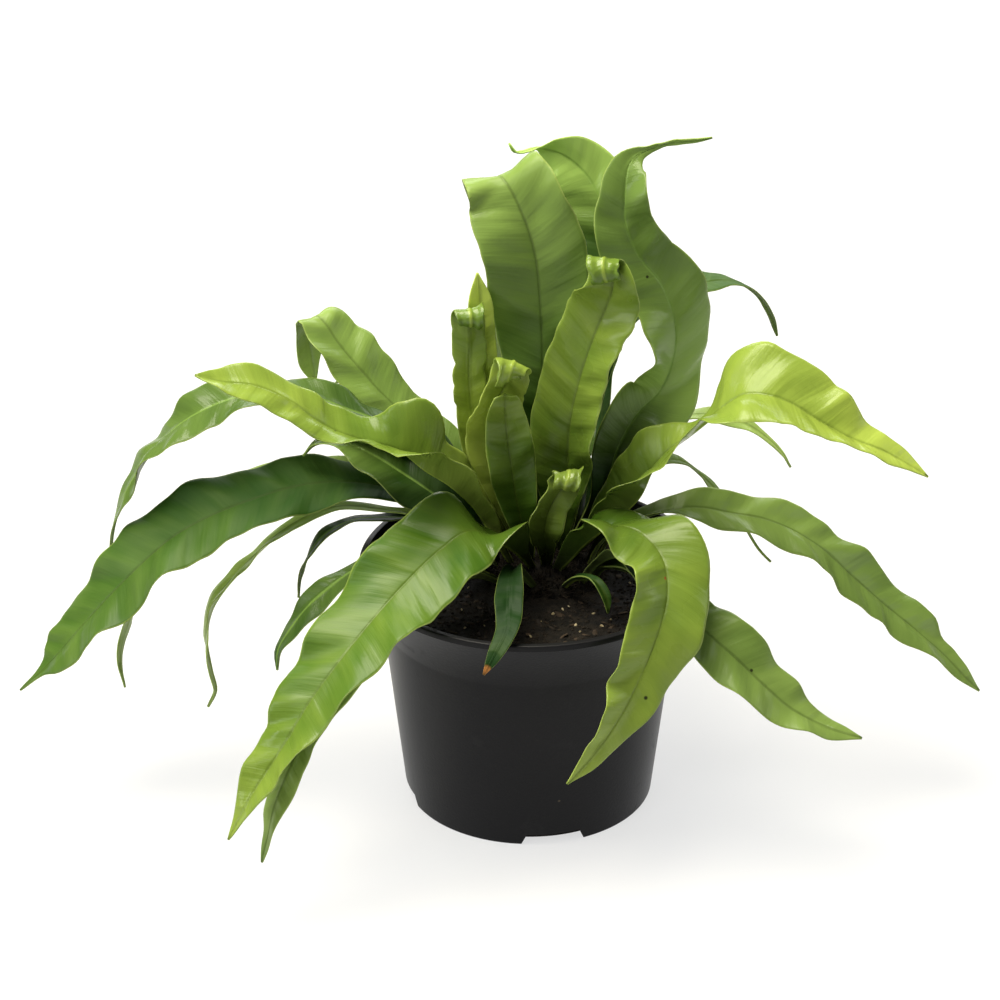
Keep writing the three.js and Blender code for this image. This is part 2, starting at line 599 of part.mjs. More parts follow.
function widthOf(frond) {
  return Math.max(...frond.rows.map((row) => row[3]));
}

// The angle between each half of the blade and its plane, at a distance from the crown. It closes
// up to the crown, and flattens where the tip starts to roll.
function foldAt(frond, distance, rollStart) {
  const [length, depth] = frond.trough ?? TROUGH;
  const closed = 1 - THREE.MathUtils.smoothstep(distance, length / 2, length);
  const deeper = depth * Math.sin(Math.PI * Math.min(1, distance / length)) ** 2;
  const rolled = THREE.MathUtils.smoothstep(distance, rollStart - CURL_LEAD, rollStart);
  const flat = 1 - (1 - CURL_FOLD) * rolled;
  return degrees((frond.fold + (TROUGH_ANGLE - frond.fold) * closed + deeper) * flat);
}

// One point of a blade: column v runs from -1 at the left margin to 1 at the right one, and
// side is 1 on the upper face and -1 on the lower one.
function bladePoint(frond, station, length, v, side, grow) {
  const { origin, halfWidth, along, across, up, distance } = station;
  const reach = Math.abs(v);
  const sign = Math.sign(v);
  const angle = station.fold;
  const phase = (frond.waves * (distance - RIPPLE_SLANT * reach * halfWidth)) / length;
  const swell = Math.min(1, distance / STALK_LENGTH) * ((2 * halfWidth) / widthOf(frond));
  const ripple = frond.ruffle * swell * reach ** 1.5
    * Math.sin(2 * Math.PI * (phase + (sign > 0 ? 0.1 : 0.55)));
  const half = halfWidth + grow;
  const tail = Math.min(1, distance / STALK_LENGTH);
  const flat = reach === 0 ? RIB_THICKNESS : BLADE_THICKNESS;
  const thickness = STALK_THICKNESS + (flat - STALK_THICKNESS) * tail;
  const lean = reach === 0 ? 0 : angle;
  const point = origin.clone();
  point.addScaledVector(across, v * half * Math.cos(angle));
  point.addScaledVector(up, reach * half * (Math.sin(angle) - BLADE_BOW * reach) + ripple);
  const lift = side * (thickness / 2 + grow);
  point.addScaledVector(up, lift * Math.cos(lean));
  point.addScaledVector(across, -sign * lift * Math.sin(lean));
  return point.toArray();
}

// A closed blade over the stations given, grown on all sides where it cuts its own socket.
function bladeSolid(frond, grow = 0, reach = Infinity) {
  const { stations, length } = stationsOf(frond);
  const used = stations.filter((station) => station.distance <= reach);
  used[0].origin.addScaledVector(used[0].along, -grow);
  const columns = widthOf(frond) < SLIM_WIDTH ? SLIM_COLUMNS : COLUMNS;
  const points = [];
  for (const station of used) {
    for (const side of [1, -1]) {
      for (const v of columns) points.push(bladePoint(frond, station, length, v, side, grow));
    }
  }
  const across = columns.length;
  const ring = 2 * across;
  const triangles = [];
  for (let i = 0; i < used.length - 1; i += 1) {
    const near = i * ring;
    const far = near + ring;
    for (let j = 0; j < across - 1; j += 1) {
      triangles.push([near + j, near + j + 1, far + j + 1], [near + j, far + j + 1, far + j]);
      const under = near + across + j;
      const beyond = far + across + j;
      triangles.push([under, beyond + 1, under + 1], [under, beyond, beyond + 1]);
    }
    const right = near + across - 1;
    const farRight = far + across - 1;
    triangles.push([right, right + across, farRight + across], [right, farRight + across, farRight]);
    triangles.push([near, far + across, near + across], [near, far, far + across]);
  }
  const end = (used.length - 1) * ring;
  for (let j = 0; j < across - 1; j += 1) {
    triangles.push([j, j + across, j + across + 1], [j, j + across + 1, j + 1]);
    const k = end + j;
    triangles.push([k, k + across + 1, k + across], [k, k + 1, k + across + 1]);
  }
  return solidFrom(meshFrom(points, triangles));
}

function standard(color, roughness) {
  return new THREE.MeshStandardMaterial({ color, roughness, metalness: 0 });
}

function named(name, solid, material) {
  const mesh = new THREE.Mesh(geometryFrom(solid), material);
  mesh.name = name;
  return mesh;
}

const group = new THREE.Group();
group.add(named('pot', potSolid(), standard('#1b1c1e', 0.5)));
group.add(named('soil', soilSolid(), standard('#241a14', 0.95)));

let crown = crownSolid(0);
for (const frond of FRONDS) {
  crown = crown.subtract(bladeSolid(frond, SEAT_GAP, SOCKET_LENGTH));
  group.add(named(frond.name, bladeSolid(frond), standard(frond.color, 0.4)));
}
group.add(named('crown', crown, standard('#2d2419', 0.9)));

export default group;
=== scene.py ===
"""A bird's nest fern in a black nursery pot: fronds, crown, soil, pot, finishes, light and camera.

Lengths in the tables are millimetres, and every mesh is in metres. The origin is on the pot's
axis, on the floor. The plant is seen from the front along +Y, with +X to the right.
"""
import math
from dataclasses import dataclass

import bmesh
import bpy
import numpy as np
from mathutils import Matrix, Vector, noise


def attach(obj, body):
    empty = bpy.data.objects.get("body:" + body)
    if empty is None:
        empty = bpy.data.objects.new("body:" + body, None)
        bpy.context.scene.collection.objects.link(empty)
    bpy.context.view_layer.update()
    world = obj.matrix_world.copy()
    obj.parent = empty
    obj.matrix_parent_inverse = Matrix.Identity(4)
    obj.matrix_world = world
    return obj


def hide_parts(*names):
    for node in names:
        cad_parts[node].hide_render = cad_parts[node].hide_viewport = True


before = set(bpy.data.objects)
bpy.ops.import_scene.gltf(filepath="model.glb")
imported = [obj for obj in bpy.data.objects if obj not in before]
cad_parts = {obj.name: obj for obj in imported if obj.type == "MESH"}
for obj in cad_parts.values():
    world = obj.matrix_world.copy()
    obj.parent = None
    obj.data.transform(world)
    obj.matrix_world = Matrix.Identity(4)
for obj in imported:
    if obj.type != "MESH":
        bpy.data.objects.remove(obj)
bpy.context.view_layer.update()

MM = 0.001

# Pot
RIM_RADIUS = 82.5
POT_HEIGHT = 123.5
FOOT_RADIUS = 60.5
SHOULDER_RADIUS = 71.5
SHOULDER_HEIGHT = 95
WALL = 1.8
FLOOR_THICKNESS = 2.4
LIP_HEIGHT = 3.2
LIP_OVERHANG = 1.4
LIP_ROUND = 0.8
LIP_CORNER = 0.3
INNER_LIP_ROUND = 0.6
FOOT_ROUND = 1.2
POT_SIDES = 256
POT_CREASE = 35
DRAIN_COUNT = 4
DRAIN_WIDTH = 32
DRAIN_TOP_WIDTH = 26
DRAIN_HEIGHT = 6
DRAIN_DEPTH = 13
FIRST_DRAIN_ANGLE = -79

# Soil: its level, the height, size, seed and noise of its lumps and crumbs, the part of both that
# shows and how soon they calm at the wall, its rings and sides of points, the angle in degrees over
# which its edges stay sharp, and its gap to the pot. A noise is its dimension, the step between its
# octaves and their number.
SOIL_HEIGHT = 112
SOIL_MOUND = 1
SOIL_LUMPS = 1.6
LUMP_SIZE = 16
LUMP_SEED = 3.1
LUMP_NOISE = (0.9, 2.0, 3)
SOIL_CRUMBS = 0.5
CRUMB_SIZE = 3.2
CRUMB_SEED = 8.4
CRUMB_NOISE = (0.8, 2.1, 4)
SOIL_ROUGHNESS = 0.6
SOIL_CALM = 12
SOIL_RINGS = 90
SOIL_SIDES = 260
SOIL_CREASE = 60
SEAT_GAP = 0.3

# Crown: its dome as shares of its radius and of the height from shoulder to top
CROWN_CENTRE = (7, 12)
CROWN_RADIUS = 31
CROWN_TOP = 122
CROWN_SHOULDER = 112
CROWN_BOTTOM = 92
CROWN_FOOT = 0.84
CROWN_DOME = ((1, 0), (0.93, 0.45), (0.66, 0.72), (0.33, 0.94), (0, 1))
CROWN_LUMPS = 1.2
CROWN_LUMP_SCALE = 160
CROWN_NOISE = (0.8, 2.0, 3)
CROWN_SPACING = 1.2
CROWN_SIDES = 120
CROWN_CREASE = 60

# Blades: thickness at each place, the trough near the crown, the bow of each half, the half width
# that has full relief, and how far apart the rings of points are
BLADE_THICKNESS = 0.7
STALK_THICKNESS = 1.9
RIB_THICKNESS = 1.3
MARGIN_THICKNESS = 0.3
STALK_MARGIN = 0.6
STALK_LENGTH = 45
TROUGH = (70, 0)
TROUGH_ANGLE = 44
BLADE_BOW = 0.1
FULL_HALF = 16
STATION_SPACING = 2.6

# Places across half a blade, as shares from midrib to margin, and what lies near the midrib
ACROSS = (0, 0.14, 0.28, 0.42, 0.56, 0.7, 0.82, 0.92, 1)
RIB_REACH = 0.12
RIB_ROUNDING = 6
GROOVE_DEPTH = 0.32
GROOVE_WIDTH = 1.1
GROOVE_REACH = 0.02
GROOVE_LIMIT = 0.07

# Rolled tips: degrees from point to point, and how radius, width and fold shrink in the roll
CURL_STEP = 45
CURL_SHRINK = 0.4
CURL_TAPER = 0.5
CURL_FOLD = 0.15
CURL_LEAD = 12

# Relief of a blade: heights, lengths and slants. A span is two distances from the tip, between
# which the teeth or the crinkles of a rolled frond set in.
RIPPLE_SLANT = 0.6
RIGHT_PHASE = 0.1
LEFT_PHASE = 0.55
PUCKER_HEIGHT = 2.1
PUCKER_LENGTH = 12
PUCKER_SLANT = 0.75
SWAY_HEIGHT = 3.8
SWAY_LENGTH = 34
SCALLOP = 0.05
SCALLOP_LENGTH = 12
CRINKLE_HEIGHT = 1.6
CRINKLE_LENGTH = 6
CRINKLE_SPAN = (45, 15)
TOOTH_DEPTH = 1.6
TOOTH_LENGTH = 4.5
TOOTH_SPAN = (90, 60)

# Camera: aimed at this point, from this far off, looking down by this angle
CAMERA_AIM = (-14.3, 0, 157)
CAMERA_DISTANCE = 2200
CAMERA_DOWN = 28.25
CAMERA_LENS = 165.24
SENSOR = 36

# Floor, in metres: pale paper, which glows most round the pot so that shadows on it stay faint
FLOOR_REACH = 6
FLOOR_GREYS = ((0.25, 0.25, 0.25), (0.27, 0.27, 0.27))
FLOOR_GLOW = 0.66
FAR_GLOW = 0.4
GLOW_CENTRE = (0, 0.3, 0)
GLOW_REACH = (0.85, 1.3)
GLOW_FRONT = (-0.6, -0.27)


@dataclass
class Frond:
    """One frond. Each row is a point of the midrib from the crown to the tip: x, y, z, the blade's
    width and its turn about the midrib in degrees. faces is the compass angle that it grows
    towards, fold is how far each half rises, waves and ruffle are the number and height of the
    ripples, curl is the turns and radius of a rolled tip, and trough is the length over which the
    blade opens out and how much deeper it folds halfway along."""
    name: str
    age: str
    faces: float
    fold: float
    waves: float
    ruffle: float
    rows: list
    curl: tuple = ()
    trough: tuple = TROUGH


FRONDS = [
    # Upright fronds round the heart
    Frond("tall_broad", "grown", faces=92, fold=18, waves=3, ruffle=3, rows=[
        (6, 27, 113, 5, 0), (4, 31, 152, 16, 0), (6, 34, 218, 43, 0), (5, 36, 243, 50, 0),
        (2.5, 38, 268, 52, 0), (-2.5, 40, 286, 50, -2), (-8.5, 43, 299, 47, -8),
        (-13.5, 48, 304, 42, -14), (-18, 56, 299, 31, -12), (-21, 63, 281, 16, 0),
        (-23, 66, 261, 1, 0),
    ]),
    Frond("tall_behind", "old", faces=78, fold=10, waves=3, ruffle=3, rows=[
        (12, 30, 111, 5, 0), (19, 43, 146, 12, 0), (27, 54, 184, 18, 0), (35, 66, 216.5, 24, 0),
        (40, 76, 244, 29, 0), (39, 84, 262, 31, 4), (34, 90, 275, 32, 12),
        (27, 95, 285.5, 31, 20), (17, 97, 294, 25, 28), (9, 96, 298, 13, 28),
        (3.5, 94, 299.5, 5, 20), (-2, 91, 299, 3.5, 10), (-7, 89, 299.5, 2.5, 0),
        (-10, 89, 304, 1, 0),
    ]),
    Frond("tall_wavy", "old", faces=90, fold=24, waves=4, ruffle=4, rows=[
        (17, 22, 113, 5, 0), (35, 28, 142, 18, 0), (43, 29, 171, 30, 0), (52, 29, 189, 36, 5),
        (62, 31, 200, 40, 26), (68, 32, 216, 43, 34), (69, 32, 235, 43, 32),
        (62, 31, 257, 39, 24), (53, 31, 269, 36, 12), (47, 31, 281, 34, 2),
        (44.5, 32, 291, 31, -8), (44.5, 33, 301, 27, -10), (45, 35, 310, 23, -8),
        (46.5, 38, 316, 17, 0), (50.5, 40, 320, 9, 0), (55, 40.5, 322, 5, 0),
        (60, 40.5, 324.3, 4.4, 0), (65, 40, 325.8, 4, 0), (71, 40, 326.5, 3.4, 0),
        (78, 40, 327.2, 2.8, 0), (85.4, 40, 328.5, 1, 0),
    ]),
    Frond("upright_left", "young", faces=100, fold=18, waves=3, ruffle=1, curl=(1, 5), rows=[
        (-5, 18, 113, 5, 0), (-14, 18, 137, 9, 0), (-24, 19, 169, 15, 0), (-29, 20, 205, 17, 0),
        (-29, 20, 234, 17, 0), (-29.5, 19, 247, 16, 0),
    ]),
    Frond("upright_inner", "young", faces=95, fold=14, waves=2, ruffle=1, rows=[
        (0, 22, 113, 5, 0), (-12, 24, 150, 8, 0), (-20, 25, 201, 12, 0), (-23, 26, 237, 13, 0),
        (-24, 26, 252, 11, 0), (-25, 26, 265, 1, 0),
    ]),
    Frond("young_right", "young", faces=90, fold=28, waves=4, ruffle=1.5, curl=(1.1, 6.5), rows=[
        (12, 16, 114, 5, 0), (15, 16, 138, 18, -10), (18, 16, 160, 31, -28),
        (20, 16, 192, 43, -42), (25, 16, 217, 43, -40), (31, 15, 238, 40, -34),
        (37, 13, 256, 39, -26), (39, 10, 268, 30, -16), (36, 8, 279, 18, -8),
    ]),
    Frond("young_left", "young", faces=100, fold=30, waves=3, ruffle=1.5, curl=(1, 6), rows=[
        (3, 17, 114, 5, 0), (-9, 14, 138, 10, 0), (-15.5, 13.5, 165, 24, 0),
        (-19, 12, 189, 32, 0), (-17, 10, 203, 30, -4), (-13, 8, 213, 25, -10),
        (-9.5, 5, 222, 21, -18), (-8, 2, 229, 19, -24),
    ]),
    Frond("young_middle", "young", faces=100, fold=26, waves=3, ruffle=1.5, rows=[
        (0, 9, 114, 5, 0), (-3, 4, 137, 14, 0), (-7, 1, 160, 24, 0), (-9, 0, 176, 26, 0),
        (-11, -1, 193, 25, 0), (-12, -2, 206, 20, 0), (-12, -3, 213, 16, 0),
        (-12, -4, 216, 12, 0),
    ]),
    Frond("youngest", "young", faces=90, fold=20, waves=4, ruffle=1, curl=(1, 5.5), rows=[
        (8, 5, 115, 4, 0), (8, -3, 134, 12, 0), (7, -6, 143, 20, 0), (8, -8, 152, 23, 0),
        (11, -9, 161, 19, 0), (15, -9, 168, 17, 0), (17, -9, 175, 16, 0),
    ]),

    # Broad fronds that arch out over the rim
    Frond("twisted_right", "young", faces=0, fold=28, waves=5, ruffle=3, trough=(100, 18), rows=[
        (15, 9, 114, 5, 0), (27, 8, 128, 16, -10), (39, 6, 141, 33, -10), (52, 3, 156, 44, -4),
        (59, 0, 174, 40, 6), (66, -3, 185, 31, 4), (76, -6, 195, 22, -8), (85, -9, 205, 20, -8),
        (91, -11, 212, 42, 2), (101, -15, 221, 54, 12), (112, -18, 222, 51, 24),
        (122, -20, 219, 48, 28), (136, -24, 211, 38, 24), (150, -27, 204, 29, 20),
        (164, -29, 199, 22, 20), (177, -30, 192, 12, 20), (187, -31, 186, 1, 20),
    ]),
    Frond("front_right", "young", faces=300, fold=16, waves=5, ruffle=3, rows=[
        (12, 2, 114, 5, 0), (19, -8, 128, 14, 0), (28, -15, 143, 28, 0), (40, -25, 156, 42, 0),
        (53, -37, 158, 43, 0), (62, -48, 151, 42, 0), (64, -59, 141, 42, 0),
        (61, -69, 128, 39, 0), (54, -79, 112, 35, 0), (45, -89, 96, 27, 0),
        (35, -98, 83, 18, 0), (25, -104, 72, 9, 0), (17, -108, 64, 1, 0),
    ]),
    Frond("front_left", "young", faces=222, fold=14, waves=6, ruffle=3.5, trough=(60, 0), rows=[
        (3, 3, 114, 5, 0), (-6, -8, 132, 14, 8), (-14, -16, 142, 37, 16),
        (-29, -26, 154, 44, -18), (-43, -40, 151, 50, -18), (-59, -56, 142, 50, -14),
        (-75, -72, 130, 49, -10), (-90, -88, 117, 45, -6), (-103, -100, 103, 38, 0),
        (-113, -110, 89, 31, 0), (-124, -118, 74, 23, 0), (-133, -124, 61, 13, 0),
        (-141, -128, 46, 1, 0),
    ]),
    Frond("left_bright", "young", faces=188, fold=14, waves=5, ruffle=3, trough=(140, 24), rows=[
        (-7, 8, 113, 5, 10), (-16, 3, 132, 11, 8), (-26, -2.5, 153, 22, 10),
        (-38, -8, 169, 36, 4), (-50, -9, 178, 40, -8), (-60, -9, 187, 60, -24),
        (-66, -9, 190, 44, -26), (-72, -10, 192, 32, -18), (-84, -11, 196, 28, -12),
        (-99, -12, 204, 26, -15), (-113, -14, 217, 26, -18), (-129, -16, 226, 25, -20),
        (-145, -18, 229, 17, -20), (-157, -20, 234, 1, -20),
    ]),

    # Long fronds to the right
    Frond("long_right", "grown", faces=5, fold=12, waves=6, ruffle=2.5, rows=[
        (27, 8, 111, 5, 0), (36, 8, 131, 8, 10), (56, 12, 141, 12, 10), (78, 16, 144, 20, 15),
        (97, 20, 139, 27, 20), (118, 22, 133, 31, 20), (140, 22, 120, 33, 20),
        (159, 20, 102, 34, 20), (175, 17, 88, 33, 20), (191, 12, 76, 28, 20),
        (204, 8, 65, 19, 20), (213, 5, 56, 9, 20), (221, 3, 49, 1, 20),
    ]),
    Frond("low_right", "grown", faces=325, fold=12, waves=5, ruffle=3, rows=[
        (30, 0, 109, 5, 0), (36, -12, 126, 8, 0), (48, -27, 132, 16, 0), (66, -44, 129, 26, 10),
        (80, -54, 118, 31, 15), (96, -62, 106, 31, 15), (111, -68, 93, 28, 15),
        (125, -72, 82, 22, 15), (142, -76, 75, 12, 15), (157, -78, 71, 1, 15),
    ]),
    Frond("back_right", "grown", faces=35, fold=12, waves=4, ruffle=2, rows=[
        (22, 22, 111, 5, 0), (33, 42, 143, 8, 0), (36, 62, 168, 10, 0), (37, 76, 190, 12, 0),
        (46, 84, 206, 15, 0), (57, 89, 217, 19, 0), (70, 93, 223, 21, 0), (86, 96, 226, 21, 0),
        (101, 100, 225, 16, 0), (111, 102, 218, 13, 0), (118, 103, 207, 9, 0),
        (123, 103, 194, 1, 0),
    ]),
    Frond("narrow_right", "grown", faces=15, fold=12, waves=4, ruffle=1, rows=[
        (31, 19, 108, 5, 0), (46, 38, 148, 8, 0), (59, 50, 165, 11, 0), (76, 58, 172, 12, 5),
        (91, 62, 171, 12, 10), (106, 64, 165, 11, 15), (117, 64, 157, 8, 15),
        (125, 64, 148, 4, 15), (129, 64, 141, 1, 15),
    ]),
    Frond("thread_right", "grown", faces=8, fold=12, waves=4, ruffle=1, rows=[
        (30, 13, 110, 5, 0), (44, 18, 138, 7, 0), (54, 25, 155, 7, 0), (64, 32, 161, 8, 0),
        (74, 38, 158, 10, 0), (84, 42, 148, 10, 0), (95, 43, 135, 8, 0), (105, 42, 121, 4, 0),
        (113, 40, 108, 2, 0), (119, 38, 102, 1, 0),
    ]),

    # Long fronds to the left
    Frond("long_left", "grown", faces=178, fold=12, waves=6, ruffle=3, rows=[
        (-13, 14, 111, 5, 0), (-31, 20, 138, 10, -5), (-63, 20, 151, 18, -10),
        (-87, 16, 158, 28, -16), (-111, 12, 158, 34, -22), (-135, 8, 152, 39, -26),
        (-155, 4, 145, 43, -28), (-172, 0, 136, 46, -28), (-190, -5, 121, 45, -28),
        (-207, -10, 104, 41, -26), (-221, -15, 89, 34, -24), (-230, -18, 79, 25, -22),
        (-236, -19, 73, 9, -20), (-247, -20, 63, 1, -20),
    ]),
    Frond("under_long_left", "grown", faces=165, fold=12, waves=4, ruffle=2, rows=[
        (-17, 21, 108, 5, 0), (-36, 30, 136, 8, 0), (-63, 36, 148, 12, 0),
        (-104, 40, 155, 16, 0), (-142, 41, 144, 20, 0), (-174, 36, 115, 20, 0),
        (-189, 30, 91, 16, 0), (-198, 26, 73, 12, 0), (-202, 22, 58, 5, 0),
        (-200, 20, 41, 1, 0),
    ]),
    Frond("left_dark", "old", faces=172, fold=12, waves=5, ruffle=3, rows=[
        (-10, 20, 111, 5, 0), (-25, 26, 149, 10, 0), (-43, 27, 170, 22, 0),
        (-62, 27, 181, 28, 0), (-84, 27, 190, 28, -5), (-110, 27, 200, 28, -5),
        (-134, 26, 200, 28, -8), (-151, 25, 195, 30, -10), (-168, 22, 186, 31, -12),
        (-183, 20, 171, 26, -12), (-194, 18, 153, 17, -12), (-201, 17, 135, 7, -10),
        (-205, 17, 107, 1, -10),
    ]),
    Frond("left_hidden", "old", faces=172, fold=12, waves=3, ruffle=2, rows=[
        (-13, 7, 111, 5, 0), (-29, 8, 139, 16, -18), (-45, 7, 155, 29, -32),
        (-60, 10, 165, 35, -32), (-76, 14, 174, 28, -24), (-91, 17, 179, 15, -8),
        (-103, 17, 178, 9, 0), (-109, 17, 172, 1, 0),
    ]),
    Frond("back_left", "grown", faces=140, fold=12, waves=4, ruffle=3, rows=[
        (-6, 25, 111, 5, 0), (-24, 37, 149, 12, 0), (-43, 46, 165, 24, 0),
        (-67, 54, 181, 32, 0), (-83, 60, 197, 34, 0), (-94, 66, 209, 33, 0),
        (-100, 70, 217, 29, 0), (-104, 73, 219, 26, 14), (-108, 76, 210, 19, 6),
        (-107, 77, 195, 15, 0), (-105, 78, 179, 1, 0),
    ]),
    Frond("back_left_small", "old", faces=148, fold=12, waves=3, ruffle=1, rows=[
        (-13, 27, 108, 5, 0), (-32, 50, 146, 9, 0), (-60, 68, 166, 13, 0),
        (-82, 80, 177, 14, 0), (-93, 84, 179, 9, 0), (-100, 85, 170, 1, 0),
    ]),
    Frond("thin_left", "grown", faces=182, fold=12, waves=5, ruffle=1, rows=[
        (-19, 6, 108, 5, 0), (-38, 8, 137, 6, 0), (-70, 12, 145, 7, 0), (-96, 14, 145, 10, 0),
        (-117, 12, 135, 15, 0), (-139, 8, 115, 17, 0), (-154, 2, 96, 16, 0),
        (-157, -2, 81, 14, 0), (-155, -5, 66, 9, 0), (-153, -7, 55, 4, 0), (-157, -9, 47, 1, 0),
    ]),
    Frond("thin_left_dark", "old", faces=172, fold=12, waves=3, ruffle=1, rows=[
        (-19, 13, 109, 5, 0), (-39, 22, 131, 6, 0), (-66, 28, 132, 8, 0), (-87, 30, 129, 10, 0),
        (-101, 28, 121, 10, 0), (-109, 25, 110, 8, 0), (-112, 22, 101, 5, 0),
        (-113, 20, 92, 1, 0),
    ]),
    Frond("low_left_dark", "old", faces=205, fold=12, waves=3, ruffle=2, rows=[
        (-12, 1, 111, 5, 0), (-38, -6, 127, 7, 0), (-62, -14, 137, 12, 0),
        (-79, -22, 134, 16, 0), (-93, -27, 126, 17, 0), (-106, -32, 116, 16, 0),
        (-115, -36, 105, 15, 0), (-120, -38, 96, 10, 0), (-121, -40, 86, 1, 0),
    ]),
    Frond("under_front_left", "grown", faces=225, fold=12, waves=4, ruffle=2, rows=[
        (-6, -6, 111, 5, 0), (-29, -32, 132, 8, 0), (-54, -60, 130, 12, 0),
        (-80, -86, 117, 15, 0), (-100, -104, 96, 17, 0), (-112, -112, 75, 18, 0),
        (-119, -116, 58, 15, 0), (-123, -119, 41, 8, 0), (-126, -121, 29, 1, 0),
    ]),

    # Small fronds over the soil
    Frond("short_front", "old", faces=265, fold=10, waves=2, ruffle=1, rows=[
        (4, -10, 111, 5, 0), (-6, -24, 131, 8, 0), (-9, -40, 138, 13, 0),
        (-10, -60, 136, 14, 0), (-11, -79, 131, 11, 0), (-17, -90, 123, 7, 0),
        (-22, -94, 115, 1, 0),
    ]),
    Frond("short_right", "old", faces=315, fold=10, waves=2, ruffle=1, rows=[
        (24, -5, 110, 5, 0), (33, -18, 132, 9, 0), (43, -30, 142, 14, 0), (51, -39, 139, 10, 0),
        (57, -47, 131, 1, 0),
    ]),
    Frond("short_tip", "young", faces=300, fold=10, waves=2, ruffle=0.5, rows=[
        (15, -8, 111, 4, 0), (23, -26, 128, 6, 0), (31, -36, 132, 7, 0), (36, -41, 126, 5, 0),
        (37, -43, 119, 1, 0),
    ]),

    # Fronds behind the heart
    Frond("rear_tall", "grown", faces=92, fold=12, waves=4, ruffle=3, rows=[
        (5, 30, 111, 5, 0), (3, 48, 150, 14, 0), (2, 72, 185, 26, 0), (0, 104, 200, 34, 0),
        (-2, 138, 190, 36, 0), (-3, 168, 160, 30, 0), (-4, 186, 122, 18, 0),
        (-4, 194, 92, 1, 0),
    ]),
    Frond("rear_left", "grown", faces=112, fold=12, waves=4, ruffle=3, rows=[
        (-1, 29, 111, 5, 0), (-10, 46, 134, 12, 0), (-20, 64, 140, 22, 0),
        (-32, 90, 132, 28, 0), (-42, 118, 108, 26, 0), (-48, 134, 80, 14, 0),
        (-50, 140, 58, 1, 0),
    ]),
    Frond("rear_right", "grown", faces=66, fold=12, waves=4, ruffle=3, rows=[
        (17, 29, 111, 5, 0), (21, 50, 142, 11, 0), (31, 69, 155, 22, 0), (42, 92, 150, 27, 0),
        (50, 115, 130, 26, 0), (53, 134, 102, 20, 0), (53, 146, 72, 1, 0),
    ]),
    Frond("rear_low", "old", faces=86, fold=12, waves=3, ruffle=2, rows=[
        (9, 36, 108, 5, 0), (9, 54, 128, 10, 0), (9, 76, 138, 19, 0), (10, 98, 134, 24, 0),
        (12, 118, 114, 23, 0), (13, 132, 88, 15, 0), (13, 138, 62, 1, 0),
    ]),
    Frond("rear_low_right", "old", faces=70, fold=12, waves=3, ruffle=2, rows=[
        (20, 33, 109, 5, 0), (28, 52, 126, 8, 0), (34, 72, 133, 15, 0), (40, 92, 126, 18, 0),
        (43, 108, 106, 15, 0), (45, 117, 84, 8, 0), (46, 120, 64, 1, 0),
    ]),
    Frond("rear_low_left", "old", faces=112, fold=12, waves=3, ruffle=2, rows=[
        (-3, 33, 109, 5, 0), (-11, 54, 126, 8, 0), (-20, 74, 131, 15, 0), (-28, 92, 120, 17, 0),
        (-33, 104, 94, 12, 0), (-35, 110, 64, 1, 0),
    ]),
]

# How bright each frond is among those of its age, in equal steps from crown to tip: partly its own
# green and partly painted light and shade. 0 is the age's deepest green and 1 its brightest; a stretch
# that lies in shade but shows bright is lit past 1 by painted light, and a stretch deep in the clump
# is darkened by painted shade.
TONES_AND_PAINTED_LIGHT = {
    "tall_broad": (0.05, 0.2, 0.6, 0.95), "tall_behind": (0.1, 0.0, 0.15, 2.2),
    "tall_wavy": (0.0, 0.1, 1.05, 0.6, 0.5, 1.0), "upright_left": (1.6, 1.2, 0.55, 0.15),
    "upright_inner": (0.0, 0.1, 0.2, 0.9, 1.3), "young_right": (0.35, 0.4, 0.45, 0.45, 0.2),
    "young_left": (1.2, 1.7, 1.7, 0.7, 0.35), "young_middle": (0.2, 0.25, 0.45),
    "youngest": (0.8, 0.65, 0.5), "twisted_right": (0.35, 0.45, 0.6, 1.0),
    "front_right": (0.15, 0.35, 0.5, 0.65), "front_left": (0.4, 0.2, 0.17, 0.6),
    "left_bright": (1.8, 0.9, 0.3, 0.5, 0.55), "long_right": (0.7, 0.75, 0.55, 0.65),
    "low_right": (0.4, 0.5, 0.85), "back_right": (0.05, 0.1, 0.15),
    "narrow_right": (0.6, 1.1, 1.3), "thread_right": (0.35, 0.55, 0.6),
    "long_left": (0.06, 0.08, 0.15, 0.3), "under_long_left": (0.6, 0.9),
    "left_dark": (0.1, 0.15, 0.35, 0.45), "left_hidden": (0.0, 0.05, 0.8),
    "back_left": (0.4, 0.5, 0.55, 0.6, 2.2), "back_left_small": (0.3, 0.3),
    "thin_left": (1.2, 1.9, 1.6, 1.1), "thin_left_dark": (0.0, 0.2),
    "low_left_dark": (0.5, 0.4, 0.05), "under_front_left": (2.0, 1.7, 0.6),
    "short_front": (0.0, 0.0), "short_right": (0.0, 0.0), "short_tip": (0.0, 0.1),
}
MIDDLE_TONE = (0.35, 0.5)

# Nicks in a margin: frond, distance from the crown, side (1 is the right), depth and half length
NICKS = (
    ("front_right", 48, 1, 7, 5),
)

# Small brown marks: frond, share of its length, place across from -1 to 1, radius and colour
MARKS = (
    ("tall_wavy", 0.63, -0.2, 1.0, "dark"),
    ("front_right", 0.48, 0.1, 1.1, "rust"),
    ("front_right", 0.75, -0.45, 1.3, "dark"),
    ("low_right", 0.66, -0.1, 1.1, "dark"),
    ("left_bright", 0.64, -0.1, 0.8, "dark"),
    ("left_bright", 0.58, -0.4, 0.8, "dark"),
    ("twisted_right", 0.2, 0.95, 1.2, "rust"),
    ("short_front", 0.985, 0, 3.2, "tan"),
)
MARK_COLOURS = {"dark": (0.03, 0.035, 0.01), "rust": (0.3, 0.09, 0.02), "tan": (0.4, 0.17, 0.04)}
MARK_CORE = 0.4

